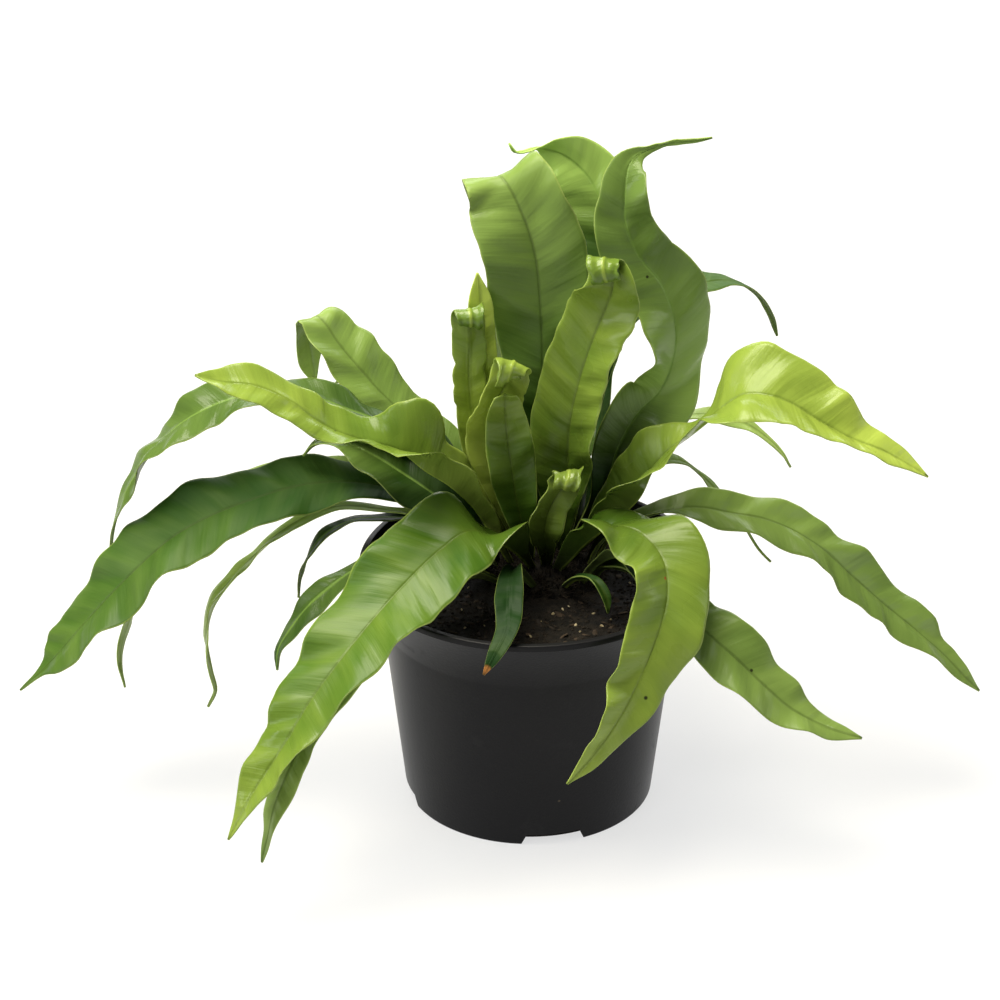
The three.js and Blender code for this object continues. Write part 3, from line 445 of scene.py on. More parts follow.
# Each frond's own start in the random relief, and how far each kind of relief is from that start
SEEDS = {frond.name: 10 * k for k, frond in enumerate(FRONDS)}
PUCKER_SEED = 3
SWAY_SEED = 6
TOOTH_SEED = 9

# Fern finishes by age: the deepest and brightest green, then the midrib's lightness, strength and
# half width in tenths of a metre, where a lightness under 1 paints shade into the groove along the
# midrib and one over 1 is its own pale colour, then the roughness and refraction of the upper and
# lower faces, and how pale the lower face is
GREENS = {
    "young": ((0.012, 0.09, 0.0), (0.45, 0.57, 0.09)),
    "grown": ((0.012, 0.068, 0.0), (0.3, 0.43, 0.1)),
    "old": ((0.005, 0.038, 0.0), (0.27, 0.41, 0.09)),
}
RIBS_AND_GROOVE_SHADE = {"young": (0.5, 0.3, 0.02), "grown": (0.4, 0.4, 0.013), "old": (1.6, 0.6, 0.013)}
UPPER_SURFACES = {"young": (0.25, 1.37), "grown": (0.3, 1.3), "old": (0.22, 1.32)}
LOWER_SURFACES = {"young": (0.16, 1.45), "grown": (0.36, 1.36), "old": (0.3, 1.36)}
UNDER_SHARES = {"young": 0.1, "grown": 0.35, "old": 0.35}
UNDER_PALE = (0.26, 0.34, 0.09)
TRANSLUCENCY = 0.22

# Shade on a blade's base, and deeper shade close to the crown: where each starts to fade and where
# it ends, in tenths of a metre, its strength, and its colour, for the base as a part of the green
BASE_REACH = (0.1, 1.3)
BASE_SHADE = 0.75
BASE_DARKER = 0.4
CROWN_REACH = (0.1, 0.4)
CROWN_STRENGTH = 0.9
CROWN_SHADE = (0.003, 0.006, 0.001)

# Midribs and margins: the tones at which a midrib starts to show, where each line starts or ends,
# in tenths of a metre or in shares of the width from the middle, and its strength and colour
RIB_TONES = (0.0, 0.06)
RIB_CORE = 0.002
UNDER_RIB = (0.004, 0.012)
UNDER_RIB_STRENGTH = 0.4
MARGIN_EDGE = (0.482, 0.499)
MARGIN_STRENGTH = 0.5
MARGIN_PALE = (0.4, 0.5, 0.12)

# Gloss: the tones between which a blade goes from dull to glossy, and how much rougher than usual
# it is below them and how much smoother above
DULL_TONES = (0.0, 0.3)
DULLER = 0.3
GLOSSIER = 0.05

# Patterns on a blade: their scale along it and, as a part of that, outwards along the side veins,
# and their share in its tone, relief or roughness. Last is the relief's height in metres and strength.
VEIN_SLANT = 0.45
BAND_SCALE = 9.0
BAND_STRETCH = 0.3
BAND_SHARE = 0.25
STREAK_SCALE = 60.0
STREAK_STRETCH = 0.06
STREAK_SHARE = 0.08
STREAK_RELIEF = 0.1
PATCH_SCALE = 28.0
PATCH_SHARE = 0.35
WAX_SCALE = 45.0
WAX_SHARE = 0.15
RELIEF_BUMP = (0.003, 0.7)

# Pot finish: noises as scale, detail and roughness, limits between which they show, bumps as
# height in metres and strength, and shares in colour or roughness
POT_BLACKS = ((0.0085, 0.0085, 0.0095), (0.012, 0.012, 0.013))
POT_CLOUDS = (14.0, 4.0)
POT_ROUGHNESS = 0.34
POT_REFRACTION = 1.2
POT_GRAIN = 900.0
POT_BUMP = (0.0002, 0.35)
SCUFFS = (55.0, 6.0, 0.65)
SCUFF_LIMITS = (0.58, 0.75)
SCUFF_GREY = (0.04, 0.04, 0.04)
SCUFF_SHARE = 0.15
SCUFF_ROUGHNESS = 0.2
DUST_BROWN = (0.12, 0.09, 0.06)
DUST_SPECKS = 95.0
DUST_SIZES = (0.05, 0.09)
DUST_PATCHES = 21.0
DUST_LIMITS = (0.62, 0.7)

# Finishes of soil and crown: dark and light colour, scale, roughness and strength of the bumps.
# Below is what these share, and then the peat, both written as for the pot.
SPECKLES = {
    "crown_fibre": ((0.002, 0.0017, 0.0012), (0.012, 0.009, 0.005), 240.0, 0.85, 0.8),
    "crown_scale": ((0.004, 0.003, 0.002), (0.022, 0.015, 0.008), 120.0, 0.7, 0.4),
    "peat_crumb": ((0.0025, 0.002, 0.0015), (0.018, 0.013, 0.008), 300.0, 0.9, 0.8),
    "bark_chip": ((0.008, 0.0055, 0.0035), (0.045, 0.03, 0.018), 150.0, 0.75, 0.9),
    "perlite": ((0.16, 0.12, 0.06), (0.5, 0.43, 0.28), 260.0, 0.8, 0.8),
}
SPECKLE_NOISE = (4.0, 0.6)
SPECKLE_LIMITS = (0.3, 0.7)
SPECKLE_RELIEF = 2.5
SPECKLE_HEIGHT = 0.0006
SPECKLE_REFRACTION = 1.3
PEAT_BROWNS = ((0.002, 0.0017, 0.0013), (0.012, 0.009, 0.006))
PEAT_CLUMPS = (160.0, 6.0, 0.65)
PEAT_LIMITS = (0.35, 0.7)
PEAT_ROUGHNESS = 0.95
PEAT_WET = (70.0, 3.0)
PEAT_WET_SHARE = 0.4
PEAT_RELIEF = (420.0, 6.0, 0.7)
PEAT_BUMP = (0.0012, 0.8)
PEAT_REFRACTION = 1.25

# Bits strewn over the soil: finish, how many to a square metre, seed, smallest and largest size,
# and how lumpy they are. Below are the ring that they start on, their least and most turns in
# radians, and the scale of their lumps.
SOIL_BITS = {
    "peat_crumbs": ("peat_crumb", 110000.0, 11, (0.8, 0.7, 0.5), (2.6, 2.2, 1.6), 0.7),
    "bark_chips": ("bark_chip", 14000.0, 23, (1.6, 0.8, 0.5), (7.0, 3.0, 1.5), 1.0),
    "perlite_grains": ("perlite", 6000.0, 37, (0.5, 0.5, 0.4), (2.2, 2.0, 1.6), 0.8),
}
BITS_INNER = 30
BITS_MARGIN = 2.5
BITS_LIFT = 1.1
BITS_SIDES = 48
BITS_TURNS = ((-0.5, -0.5, 0), (0.5, 0.5, 6.283))
BITS_LUMPS = 420.0

# Scales on the crown: the dome that they stand on, how many to a square metre, seed, size, how
# far they lean and turn in radians, and the smallest and largest as parts of that size
SCALES_DOME = (
    (CROWN_RADIUS * 0.99, CROWN_SHOULDER + 1), (CROWN_RADIUS * 0.92, 116.5),
    (CROWN_RADIUS * 0.66, 119.2), (0, CROWN_TOP),
)
SCALES_SIDES = 60
SCALES_DENSITY = 420000.0
SCALES_SEED = 5
SCALE_LENGTH = 5
SCALE_WIDTH = 0.35
SCALES_LEANS = ((-1.1, -1.1, 0), (1.1, 1.1, 6.283))
SCALES_SIZES = (0.6, 1.3)

# Lights: place and aim in metres, width and height, power and colour
LIGHTS = {
    "overhead": ((-0.35, 0.1, 1.5), (0, 0, 0.15), (1.1, 1.0), 48, (1, 0.94, 0.78)),
    "front": ((-0.9, -1.3, 1.6), (0, 0, 0.2), (0.8, 0.8), 9, (1, 1, 1)),
    "back": ((0, 1.8, 1.0), (0, 0, 0.2), (2.0, 0.8), 20, (1, 1, 1)),
    "left": ((-1.6, -0.4, 0.8), (0, 0, 0.15), (0.5, 1.2), 10, (1, 1, 1)),
    "right": ((1.7, -0.2, 0.8), (0, 0, 0.15), (0.4, 1.2), 6, (1, 1, 1)),
}
SKY_STRENGTH = 0.12


# Objects

def add_object(name, data):
    """Puts a mesh, light or camera in the scene."""
    item = bpy.data.objects.new(name, data)
    bpy.context.scene.collection.objects.link(item)
    return item


def add_mesh(name, points, faces):
    mesh = bpy.data.meshes.new(name)
    mesh.from_pydata(points, [], faces)
    return add_object(name, mesh)


def close(mesh):
    """Merges the poles, and turns every face outwards."""
    shape = bmesh.new()
    shape.from_mesh(mesh)
    bmesh.ops.remove_doubles(shape, verts=shape.verts, dist=1e-6)
    bmesh.ops.dissolve_degenerate(shape, edges=shape.edges, dist=1e-7)
    bmesh.ops.recalc_face_normals(shape, faces=shape.faces)
    shape.to_mesh(mesh)
    shape.free()


def settle(piece):
    """Turns what the piece's modifiers give into its plain mesh."""
    graph = bpy.context.evaluated_depsgraph_get()
    mesh = bpy.data.meshes.new_from_object(piece.evaluated_get(graph), depsgraph=graph)
    piece.modifiers.clear()
    piece.data = mesh


def finish_mesh(piece, crease):
    """Smooth shading, but for edges that turn by more than the crease angle in degrees."""
    piece.data.shade_smooth()
    piece.data.set_sharp_from_angle(angle=math.radians(crease))


# Blade shapes

def stride(a, b):
    """The square root of the distance between two rows, which keeps the curve free of loops."""
    return math.sqrt(math.dist(a[:3], b[:3]))


def between(rows, i, t):
    """Every column of the rows, on a smooth curve at a fraction t from row i to row i + 1."""
    start, end = rows[i], rows[i + 1]
    before = rows[i - 1] if i > 0 else 2 * start - end
    after = rows[i + 2] if i + 2 < len(rows) else 2 * end - start
    a, b, c = stride(before, start), stride(start, end), stride(end, after)
    rise = end - start
    leave = ((start - before) / a - (end - before) / (a + b) + rise / b) * b
    arrive = (rise / b - (after - start) / (b + c) + (after - end) / c) * b
    bend = 3 * rise - 2 * leave - arrive
    return start + leave * t + bend * t ** 2 + (leave + arrive - 2 * rise) * t ** 3


def frame_at(frond, rows, i, t):
    """The midrib's place, half width and directions: along it, across to its right, and up."""
    here = between(rows, i, t)
    along = between(rows, i, t + 0.02)[:3] - between(rows, i, t - 0.02)[:3]
    along /= np.linalg.norm(along)
    compass = math.radians(frond.faces)
    across = np.array((math.sin(compass), -math.cos(compass), 0))
    across -= along * across.dot(along)
    across /= np.linalg.norm(across)
    turn = math.radians(here[4])
    across = across * math.cos(turn) - np.cross(across, along) * math.sin(turn)
    return {"origin": here[:3], "half": max(here[3], 1) / 2, "along": along, "across": across,
            "up": np.cross(across, along)}


def curled_rows(frond):
    """The rows, with a shrinking spiral towards the upper face where the tip is rolled."""
    rows = [np.array(row, float) for row in frond.rows]
    if not frond.curl:
        return rows
    turns, radius = frond.curl
    last = rows[-1]
    end = frame_at(frond, rows, len(rows) - 2, 1)
    steps = round(turns * 360 / CURL_STEP)
    spiral = []
    for k in range(1, steps + 1):
        angle = math.radians(k * CURL_STEP)
        reach = radius * (1 - CURL_SHRINK * k / steps)
        point = end["origin"] + end["up"] * (radius - reach * math.cos(angle))
        point = point + end["along"] * reach * math.sin(angle)
        spiral.append(np.array((*point, last[3] * (1 - CURL_TAPER * k / steps), last[4])))
    return rows + spiral


def stations_of(frond):
    """The midrib's frames from the crown to the tip, and the frond's length."""
    rows = curled_rows(frond)
    stations = []
    travelled = 0
    roll_start = math.inf
    for i in range(len(rows) - 1):
        if i == len(frond.rows) - 1:
            roll_start = travelled
        length = stride(rows[i], rows[i + 1]) ** 2
        steps = max(3, math.ceil(length / STATION_SPACING))
        for k in range(0 if i == 0 else 1, steps + 1):
            station = frame_at(frond, rows, i, k / steps)
            station["distance"] = travelled + length * k / steps
            stations.append(station)
        travelled += length
    for station in stations:
        station["fold"] = fold_at(frond, station["distance"], roll_start)
    return stations, travelled


def width_of(frond):
    return max(row[3] for row in frond.rows)


def smoothstep(value, low, high):
    share = min(1, max(0, (value - low) / (high - low)))
    return share * share * (3 - 2 * share)


def near_tip(distance, length, span):
    """Rises from 0 to 1 between the two distances from the tip that span gives."""
    return smoothstep(distance, length - span[0], length - span[1])


def fold_at(frond, distance, roll_start):
    """The angle between each half of the blade and its plane, which flattens where the tip rolls."""
    length, depth = frond.trough
    closed = 1 - smoothstep(distance, length / 2, length)
    deeper = depth * math.sin(math.pi * min(1, distance / length)) ** 2
    flat = 1
    if frond.curl:
        flat -= (1 - CURL_FOLD) * smoothstep(distance, roll_start - CURL_LEAD, roll_start)
    return math.radians((frond.fold + (TROUGH_ANGLE - frond.fold) * closed + deeper) * flat)


def wander(distance, wavelength, seed):
    """A smooth random value from about -1 to 1 that changes along the blade."""
    return noise.noise(Vector((distance / wavelength, seed * 7.31, seed * 1.7))) * 1.6


def side_of(place):
    """1 on the right of the midrib, -1 on the left and 0 on it."""
    return math.copysign(1, place) if place else 0


def columns_of(half):
    """Places across the blade from -1 to 1, with two close to the midrib for its groove."""
    near = min(GROOVE_LIMIT, GROOVE_WIDTH / 2 / half)
    right = [0, near, 2 * near] + [2 * near + (1 - 2 * near) * place for place in ACROSS[1:]]
    return [-place for place in reversed(right[1:])] + right


def section(frond, station, length):
    """Upper and lower points of the blade across one station, with their places across."""
    half, distance, angle = station["half"], station["distance"], station["fold"]
    across, up = station["across"], station["up"]
    tail = min(1, distance / STALK_LENGTH)
    upper, lower, places = [], [], columns_of(half)
    for place in places:
        reach, sign = abs(place), side_of(place)
        side = half_width(frond, station, length, place)
        rise = rise_at(frond, station, length, place)
        thickness = thickness_at(reach, tail)
        groove = GROOVE_DEPTH * tail if reach < GROOVE_REACH else 0
        lean = angle * min(1, reach * RIB_ROUNDING)
        centre = station["origin"] + across * place * side * math.cos(angle)
        centre = centre + up * (reach * side * (math.sin(angle) - BLADE_BOW * reach) + rise)
        offset = up * math.cos(lean) - across * sign * math.sin(lean)
        upper.append(centre + offset * (thickness / 2 - groove))
        lower.append(centre - offset * thickness / 2)
    return upper, lower, places


def half_width(frond, station, length, place):
    """The blade's half width on one side, with its scallops and notches."""
    half, distance = station["half"], station["distance"]
    fade = relief_share(half, distance)
    reach, sign = abs(place), side_of(place)
    scallop = wander(distance, SCALLOP_LENGTH, SEEDS[frond.name] + sign)
    side = half * (1 + SCALLOP * fade * scallop * reach ** 3)
    return side - notch(frond, distance, length, sign) * reach ** 3


def relief_share(half, distance):
    """How much of its relief the blade has: none at the stalk's foot and less where it is slim."""
    return min(1, distance / STALK_LENGTH) * min(1, half / FULL_HALF)


def thickness_at(reach, tail):
    """The thickness at a place across the blade, where tail goes from 0 to 1 along the stalk."""
    flat = RIB_THICKNESS if reach < RIB_REACH else BLADE_THICKNESS
    thickness = STALK_THICKNESS + (flat - STALK_THICKNESS) * tail
    if reach == 1:
        thickness = min(thickness, MARGIN_THICKNESS + STALK_MARGIN * (1 - tail))
    return thickness


def rise_at(frond, station, length, place):
    """How far a point stands off the folded blade: ripples, puckers, sways and crinkles."""
    half, distance = station["half"], station["distance"]
    reach, sign, seed = abs(place), side_of(place), SEEDS[frond.name]
    fade = relief_share(half, distance)
    swell = min(1, distance / STALK_LENGTH) * 2 * half / width_of(frond)
    phase = frond.waves * (distance - RIPPLE_SLANT * reach * half) / length
    ripple = math.sin(2 * math.pi * (phase + (RIGHT_PHASE if sign > 0 else LEFT_PHASE)))
    pucker = wander(distance - PUCKER_SLANT * reach * half, PUCKER_LENGTH, seed + PUCKER_SEED + sign)
    sway = wander(distance, SWAY_LENGTH, seed + SWAY_SEED + sign)
    rise = frond.ruffle * swell * reach ** 1.5 * ripple
    rise += PUCKER_HEIGHT * fade * pucker * min(1, 2.5 * reach)
    rise += SWAY_HEIGHT * fade * sway * reach
    return rise + crinkle(frond, distance, length, place)


def notch(frond, distance, length, sign):
    """How far the margin is drawn in: by named nicks, and by teeth below a rolled tip."""
    depth = 0
    for name, at, side, deep, long in NICKS:
        if name == frond.name and side == sign:
            depth += deep * math.exp(-((distance - at) / long) ** 2)
    if frond.curl:
        teeth = max(0, wander(distance, TOOTH_LENGTH, SEEDS[frond.name] + TOOTH_SEED + sign))
        depth += TOOTH_DEPTH * teeth * near_tip(distance, length, TOOTH_SPAN)
    return depth


def crinkle(frond, distance, length, place):
    """Puckers that gather towards a rolled tip."""
    if not frond.curl:
        return 0
    bumps = noise.noise(Vector((distance / CRINKLE_LENGTH, place * 2.2, SEEDS[frond.name])))
    gather = near_tip(distance, length, CRINKLE_SPAN)
    return CRINKLE_HEIGHT * gather * bumps * min(1, 2 * abs(place))


def blade_points(frond):
    """The blade's points, ring by ring from the crown, with each point's place in both maps."""
    stations, length = stations_of(frond)
    points, blade_map, span_map = [], [], []
    for station in stations:
        upper, lower, places = section(frond, station, length)
        points += upper + lower
        share = station["distance"] / length
        blade_map += [((place + 1) / 2, share) for place in places] * 2
        lateral = [place * station["half"] / 100 for place in places]
        span_map += [(value, station["distance"] / 100) for value in lateral] * 2
    return np.array(points) * MM, len(places), blade_map, span_map


def blade_faces(rings, across):
    """Faces of a closed blade, and each one's kind: 0 upper, 1 lower, 2 margin or end."""
    ring = 2 * across
    faces, kinds = [], []
    for i in range(rings - 1):
        near, far = i * ring, (i + 1) * ring
        for j in range(across - 1):
            faces.append((near + j, near + j + 1, far + j + 1, far + j))
            low, beyond = near + across + j, far + across + j
            faces.append((low, beyond, beyond + 1, low + 1))
            kinds += [0, 1]
        right, far_right = near + across - 1, far + across - 1
        faces.append((right, right + across, far_right + across, far_right))
        faces.append((near, far, far + across, near + across))
        kinds += [2, 2]
    end = (rings - 1) * ring
    faces.append((*range(across, ring), *reversed(range(across))))
    faces.append((*range(end, end + across), *reversed(range(end + across, end + ring))))
    return faces, kinds + [2, 2]


def add_map(mesh, name, values):
    """Adds a map from a pair of values for every point."""
    layer = mesh.uv_layers.new(name=name)
    corners = np.empty(len(mesh.loops), dtype=np.int32)
    mesh.loops.foreach_get("vertex_index", corners)
    layer.data.foreach_set("uv", np.array(values, float)[corners].ravel())


def add_tones(mesh, name, shares):
    """Gives every point its tone, with painted light and shade, from its share of the frond's length.
    """
    tones = TONES_AND_PAINTED_LIGHT.get(name, MIDDLE_TONE)
    layer = mesh.attributes.new("tone_and_painted_light", "FLOAT", "POINT")
    layer.data.foreach_set("value", np.interp(shares, np.linspace(0, 1, len(tones)), tones))


def make_frond(frond, finishes):
    points, across, blade_map, span_map = blade_points(frond)
    faces, kinds = blade_faces(len(points) // (2 * across), across)
    piece = add_mesh("blade_" + frond.name, points.tolist(), faces)
    mesh = piece.data
    add_map(mesh, "Blade", blade_map)
    add_map(mesh, "Span", span_map)
    add_tones(mesh, frond.name, np.array(blade_map)[:, 1])
    for finish in finishes[frond.age]:
        mesh.materials.append(finish)
    mesh.polygons.foreach_set("material_index", [1 if kind == 1 else 0 for kind in kinds])
    mesh.polygons.foreach_set("use_smooth", [kind != 2 for kind in kinds])
    mesh.update()
    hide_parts("frond_" + frond.name)
    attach(piece, "root")


def mark_place(name, share, place):
    """The point on a frond's upper face, in metres, at a share of its length."""
    frond = next(item for item in FRONDS if item.name == name)
    stations, length = stations_of(frond)
    station = min(stations, key=lambda item: abs(item["distance"] / length - share))
    upper, _, places = section(frond, station, length)
    nearest = min(range(len(places)), key=lambda k: abs(places[k] - place))
    return upper[nearest] * MM


# Node trees

class Nodes:
    """Adds nodes to a tree, with their inputs fed by values or by other nodes' outputs."""

    def __init__(self, tree):
        self.tree = tree

    def node(self, kind, inputs=None, **settings):
        node = self.tree.nodes.new(kind)
        for key, value in settings.items():
            setattr(node, key, value)
        for key, value in (inputs or {}).items():
            self.feed(node.inputs[key], value)
        return node

    def feed(self, socket, value):
        if isinstance(value, bpy.types.NodeSocket):
            self.tree.links.new(value, socket)
        else:
            socket.default_value = value


class Finish(Nodes):
    """One material, built from named nodes."""

    def __init__(self, name):
        self.material = bpy.data.materials.new(name)
        self.material.use_nodes = True
        super().__init__(self.material.node_tree)
        self.tree.nodes.clear()

    def math(self, operation, first, second=0.0):
        return self.node("ShaderNodeMath", {0: first, 1: second}, operation=operation).outputs[0]

    def add_part(self, base, value, part):
        """The base plus a part of the value."""
        return self.math("ADD", base, self.math("MULTIPLY", value, part))

    def blend(self, factor, first, second):
        node = self.node("ShaderNodeMix", data_type="RGBA", clamp_factor=False)
        self.feed(node.inputs[0], factor)
        self.feed(node.inputs[6], as_colour(first))
        self.feed(node.inputs[7], as_colour(second))
        return node.outputs[2]

    def step(self, value, low, high, start=0.0, end=1.0):
        """Goes smoothly from start to end while the value goes from low to high."""
        inputs = dict(enumerate((value, low, high, start, end)))
        return self.node("ShaderNodeMapRange", inputs, interpolation_type="SMOOTHSTEP").outputs[0]

    def grain(self, vector, scale, detail=2.0, roughness=0.5):
        inputs = {"Vector": vector, "Scale": scale, "Detail": detail, "Roughness": roughness}
        return self.node("ShaderNodeTexNoise", inputs).outputs[0]

    def place(self):
        return self.node("ShaderNodeTexCoord").outputs["Object"]

    def distance_to(self, point):
        ends = {0: self.place(), 1: point}
        return self.node("ShaderNodeVectorMath", ends, operation="DISTANCE").outputs["Value"]

    def join(self, x, y):
        return self.node("ShaderNodeCombineXYZ", {0: x, 1: y}).outputs[0]

    def map_axes(self, name):
        layer = self.node("ShaderNodeUVMap", uv_map=name)
        split = self.node("ShaderNodeSeparateXYZ", {0: layer.outputs[0]})
        return split.outputs[0], split.outputs[1]

    def attribute(self, name):
        return self.node("ShaderNodeAttribute", attribute_name=name).outputs["Fac"]

    def bump(self, height, distance, strength):
        inputs = {"Height": height, "Distance": distance, "Strength": strength}
        return self.node("ShaderNodeBump", inputs).outputs[0]

    def principled(self, colour, roughness, others):
        inputs = {"Base Color": colour, "Roughness": roughness, **others}
        return self.node("ShaderNodeBsdfPrincipled", inputs).outputs[0]

    def output(self, shader):
        self.node("ShaderNodeOutputMaterial", {"Surface": shader})
        return self.material


def as_colour(value):
    """A colour with its opacity. Outputs of other nodes stay as they are."""
    return (*value, 1) if isinstance(value, tuple) and len(value) == 3 else value


# Fern finishes

def blade_green(finish, lateral, distance, deep, bright):
    """Green that varies in bands and streaks along the side veins, which run out and forwards,
    and that darkens towards the crown. Gives the colour, and a relief of the same bands."""
    vein = finish.add_part(distance, lateral, -VEIN_SLANT)
    along_bands = finish.join(vein, finish.math("MULTIPLY", lateral, BAND_STRETCH))
    along_streaks = finish.join(vein, finish.math("MULTIPLY", lateral, STREAK_STRETCH))
    bands = finish.grain(along_bands, BAND_SCALE, 1.0)
    streaks = finish.grain(along_streaks, STREAK_SCALE)
    patches = finish.grain(finish.place(), PATCH_SCALE)
    # The tone holds each frond's own green together with painted light and shade.
    tone_and_painted_light = finish.attribute("tone_and_painted_light")
    for pattern, share in ((bands, BAND_SHARE), (streaks, STREAK_SHARE), (patches, PATCH_SHARE)):
        tone_and_painted_light = finish.add_part(tone_and_painted_light, finish.math("SUBTRACT", pattern, 0.5), share)
    colour = finish.blend(finish.math("MAXIMUM", tone_and_painted_light, 0.0), deep, bright)
    base = finish.step(distance, *BASE_REACH, BASE_SHADE, 0.0)
    colour = finish.blend(base, colour, tuple(BASE_DARKER * value for value in deep))
    crown = finish.step(distance, *CROWN_REACH, CROWN_STRENGTH, 0.0)
    colour = finish.blend(crown, colour, CROWN_SHADE)
    return colour, finish.add_part(bands, streaks, STREAK_RELIEF)


def add_marks(finish, colour):
    """Small brown marks, each at its own place on a blade."""
    for name, share, across, radius, kind in MARKS:
        gap = finish.distance_to(tuple(mark_place(name, share, across)))
        inside = finish.step(gap, MARK_CORE * radius * MM, radius * MM, 1.0, 0.0)
        colour = finish.blend(inside, colour, MARK_COLOURS[kind])
    return colour


def blade_upper(age):
    """Waxy upper face: a midrib line with painted groove shade, pale on old fronds, fine side veins
    and a thin pale margin.
    """
    finish = Finish(age + "_blade_upper")
    deep, bright = GREENS[age]
    across, _ = finish.map_axes("Blade")
    span, distance = finish.map_axes("Span")
    lateral = finish.math("ABSOLUTE", span)
    edge = finish.math("ABSOLUTE", finish.math("SUBTRACT", across, 0.5))
    colour, relief = blade_green(finish, lateral, distance, deep, bright)
    # Under a lightness of 1 the midrib line is painted shade in its groove; over 1 it is the rib's own
    # pale colour.
    lift, strength, reach = RIBS_AND_GROOVE_SHADE[age]
    seen = finish.step(finish.attribute("tone_and_painted_light"), *RIB_TONES, 0.0, strength)
    rib = finish.step(lateral, RIB_CORE, reach, seen, 0.0)
    rib_green_and_groove_shade = tuple(lift * (low + high) / 2 for low, high in zip(deep, bright))
    colour = finish.blend(rib, colour, rib_green_and_groove_shade)
    margin = finish.step(edge, *MARGIN_EDGE, 0.0, MARGIN_STRENGTH)
    colour = finish.blend(margin, colour, MARGIN_PALE)
    return blade_surface(finish, UPPER_SURFACES[age], add_marks(finish, colour), relief)


def blade_lower(age):
    """Paler lower face with a bright midrib."""
    finish = Finish(age + "_blade_lower")
    deep, bright = GREENS[age]
    span, distance = finish.map_axes("Span")
    lateral = finish.math("ABSOLUTE", span)
    colour, relief = blade_green(finish, lateral, distance, deep, bright)
    colour = finish.blend(UNDER_SHARES[age], colour, UNDER_PALE)
    rib = finish.step(lateral, *UNDER_RIB, UNDER_RIB_STRENGTH, 0.0)
    colour = finish.blend(rib, colour, bright)
    return blade_surface(finish, LOWER_SURFACES[age], colour, relief)


def blade_surface(finish, surface, colour, relief):
    """A waxy skin over a body that lets some light through. The darkest stretches are dull."""
    smoothest, refraction = surface
    wax = finish.grain(finish.place(), WAX_SCALE)
    tone_and_painted_light = finish.attribute("tone_and_painted_light")
    dull = finish.step(tone_and_painted_light, *DULL_TONES, smoothest + DULLER, smoothest - GLOSSIER)
    normal = finish.bump(relief, *RELIEF_BUMP)
    roughness = finish.add_part(dull, wax, WAX_SHARE)
    gloss = finish.principled(colour, roughness, {"IOR": refraction, "Normal": normal})
    glow = finish.node("ShaderNodeBsdfTranslucent", {"Color": colour, "Normal": normal}).outputs[0]
    mixed = finish.node("ShaderNodeMixShader", {0: TRANSLUCENCY, 1: gloss, 2: glow}).outputs[0]
    return finish.output(mixed)


# Pot, crown and soil finishes

def pot_plastic():
    """Satin black plastic with a fine moulded grain, soft scuffs and specks of dried soil."""
    finish = Finish("pot_plastic")
    place = finish.place()
    scuffs = finish.step(finish.grain(place, *SCUFFS), *SCUFF_LIMITS)
    colour = finish.blend(finish.grain(place, *POT_CLOUDS), *POT_BLACKS)
    colour = finish.blend(finish.math("MULTIPLY", scuffs, SCUFF_SHARE), colour, SCUFF_GREY)
    cells = finish.node("ShaderNodeTexVoronoi", {"Vector": place, "Scale": DUST_SPECKS})
    specks = finish.step(cells.outputs["Distance"], *DUST_SIZES, 1.0, 0.0)
    dirty = finish.step(finish.grain(place, DUST_PATCHES), *DUST_LIMITS)
    colour = finish.blend(finish.math("MULTIPLY", specks, dirty), colour, DUST_BROWN)
    roughness = finish.add_part(POT_ROUGHNESS, scuffs, SCUFF_ROUGHNESS)
    surface = {"IOR": POT_REFRACTION, "Normal": finish.bump(finish.grain(place, POT_GRAIN), *POT_BUMP)}
    return finish.output(finish.principled(colour, roughness, surface))


def peat():
    """Damp near-black peat."""
    finish = Finish("peat")
    place = finish.place()
    clumps = finish.step(finish.grain(place, *PEAT_CLUMPS), *PEAT_LIMITS)
    colour = finish.blend(clumps, *PEAT_BROWNS)
    roughness = finish.add_part(PEAT_ROUGHNESS, finish.grain(place, *PEAT_WET), -PEAT_WET_SHARE)
    normal = finish.bump(finish.grain(place, *PEAT_RELIEF), *PEAT_BUMP)
    surface = {"IOR": PEAT_REFRACTION, "Normal": normal}
    return finish.output(finish.principled(colour, roughness, surface))


def speckled(name):
    """A rough finish that varies between two colours, for bark, perlite, crumbs and scales."""
    dark, light, scale, roughness, bumpiness = SPECKLES[name]
    finish = Finish(name)
    place = finish.place()
    grains = finish.step(finish.grain(place, scale, *SPECKLE_NOISE), *SPECKLE_LIMITS)
    colour = finish.blend(grains, dark, light)
    relief = finish.grain(place, scale * SPECKLE_RELIEF, *SPECKLE_NOISE)
    surface = {"IOR": SPECKLE_REFRACTION, "Normal": finish.bump(relief, SPECKLE_HEIGHT, bumpiness)}
    return finish.output(finish.principled(colour, roughness, surface))


# Pot

def circle(radius, height, sides, centre=(0, 0)):
    """Points in metres round an upright axis."""
    angles = [2 * math.pi * k / sides for k in range(sides)]
    return [((centre[0] + radius * math.cos(angle)) * MM,
             (centre[1] + radius * math.sin(angle)) * MM, height * MM) for angle in angles]


def lathe(name, profile, sides, centre=(0, 0)):
    """A closed body turned about an upright axis, from radius and height pairs in millimetres."""
    points = [point for radius, height in profile for point in circle(radius, height, sides, centre)]
    faces = []
    for i in range(len(profile) - 1):
        low, high = i * sides, (i + 1) * sides
        for k in range(sides):
            after = (k + 1) % sides
            faces.append((low + k, low + after, high + after, high + k))
    piece = add_mesh(name, points, faces)
    close(piece.data)
    return piece


def arc(centre, radius, start, end, steps=6):
    """Profile points on a quarter round, between two angles in degrees."""
    angles = [math.radians(start + (end - start) * k / steps) for k in range(steps + 1)]
    return [(centre[0] + radius * math.cos(a), centre[1] + radius * math.sin(a)) for a in angles]


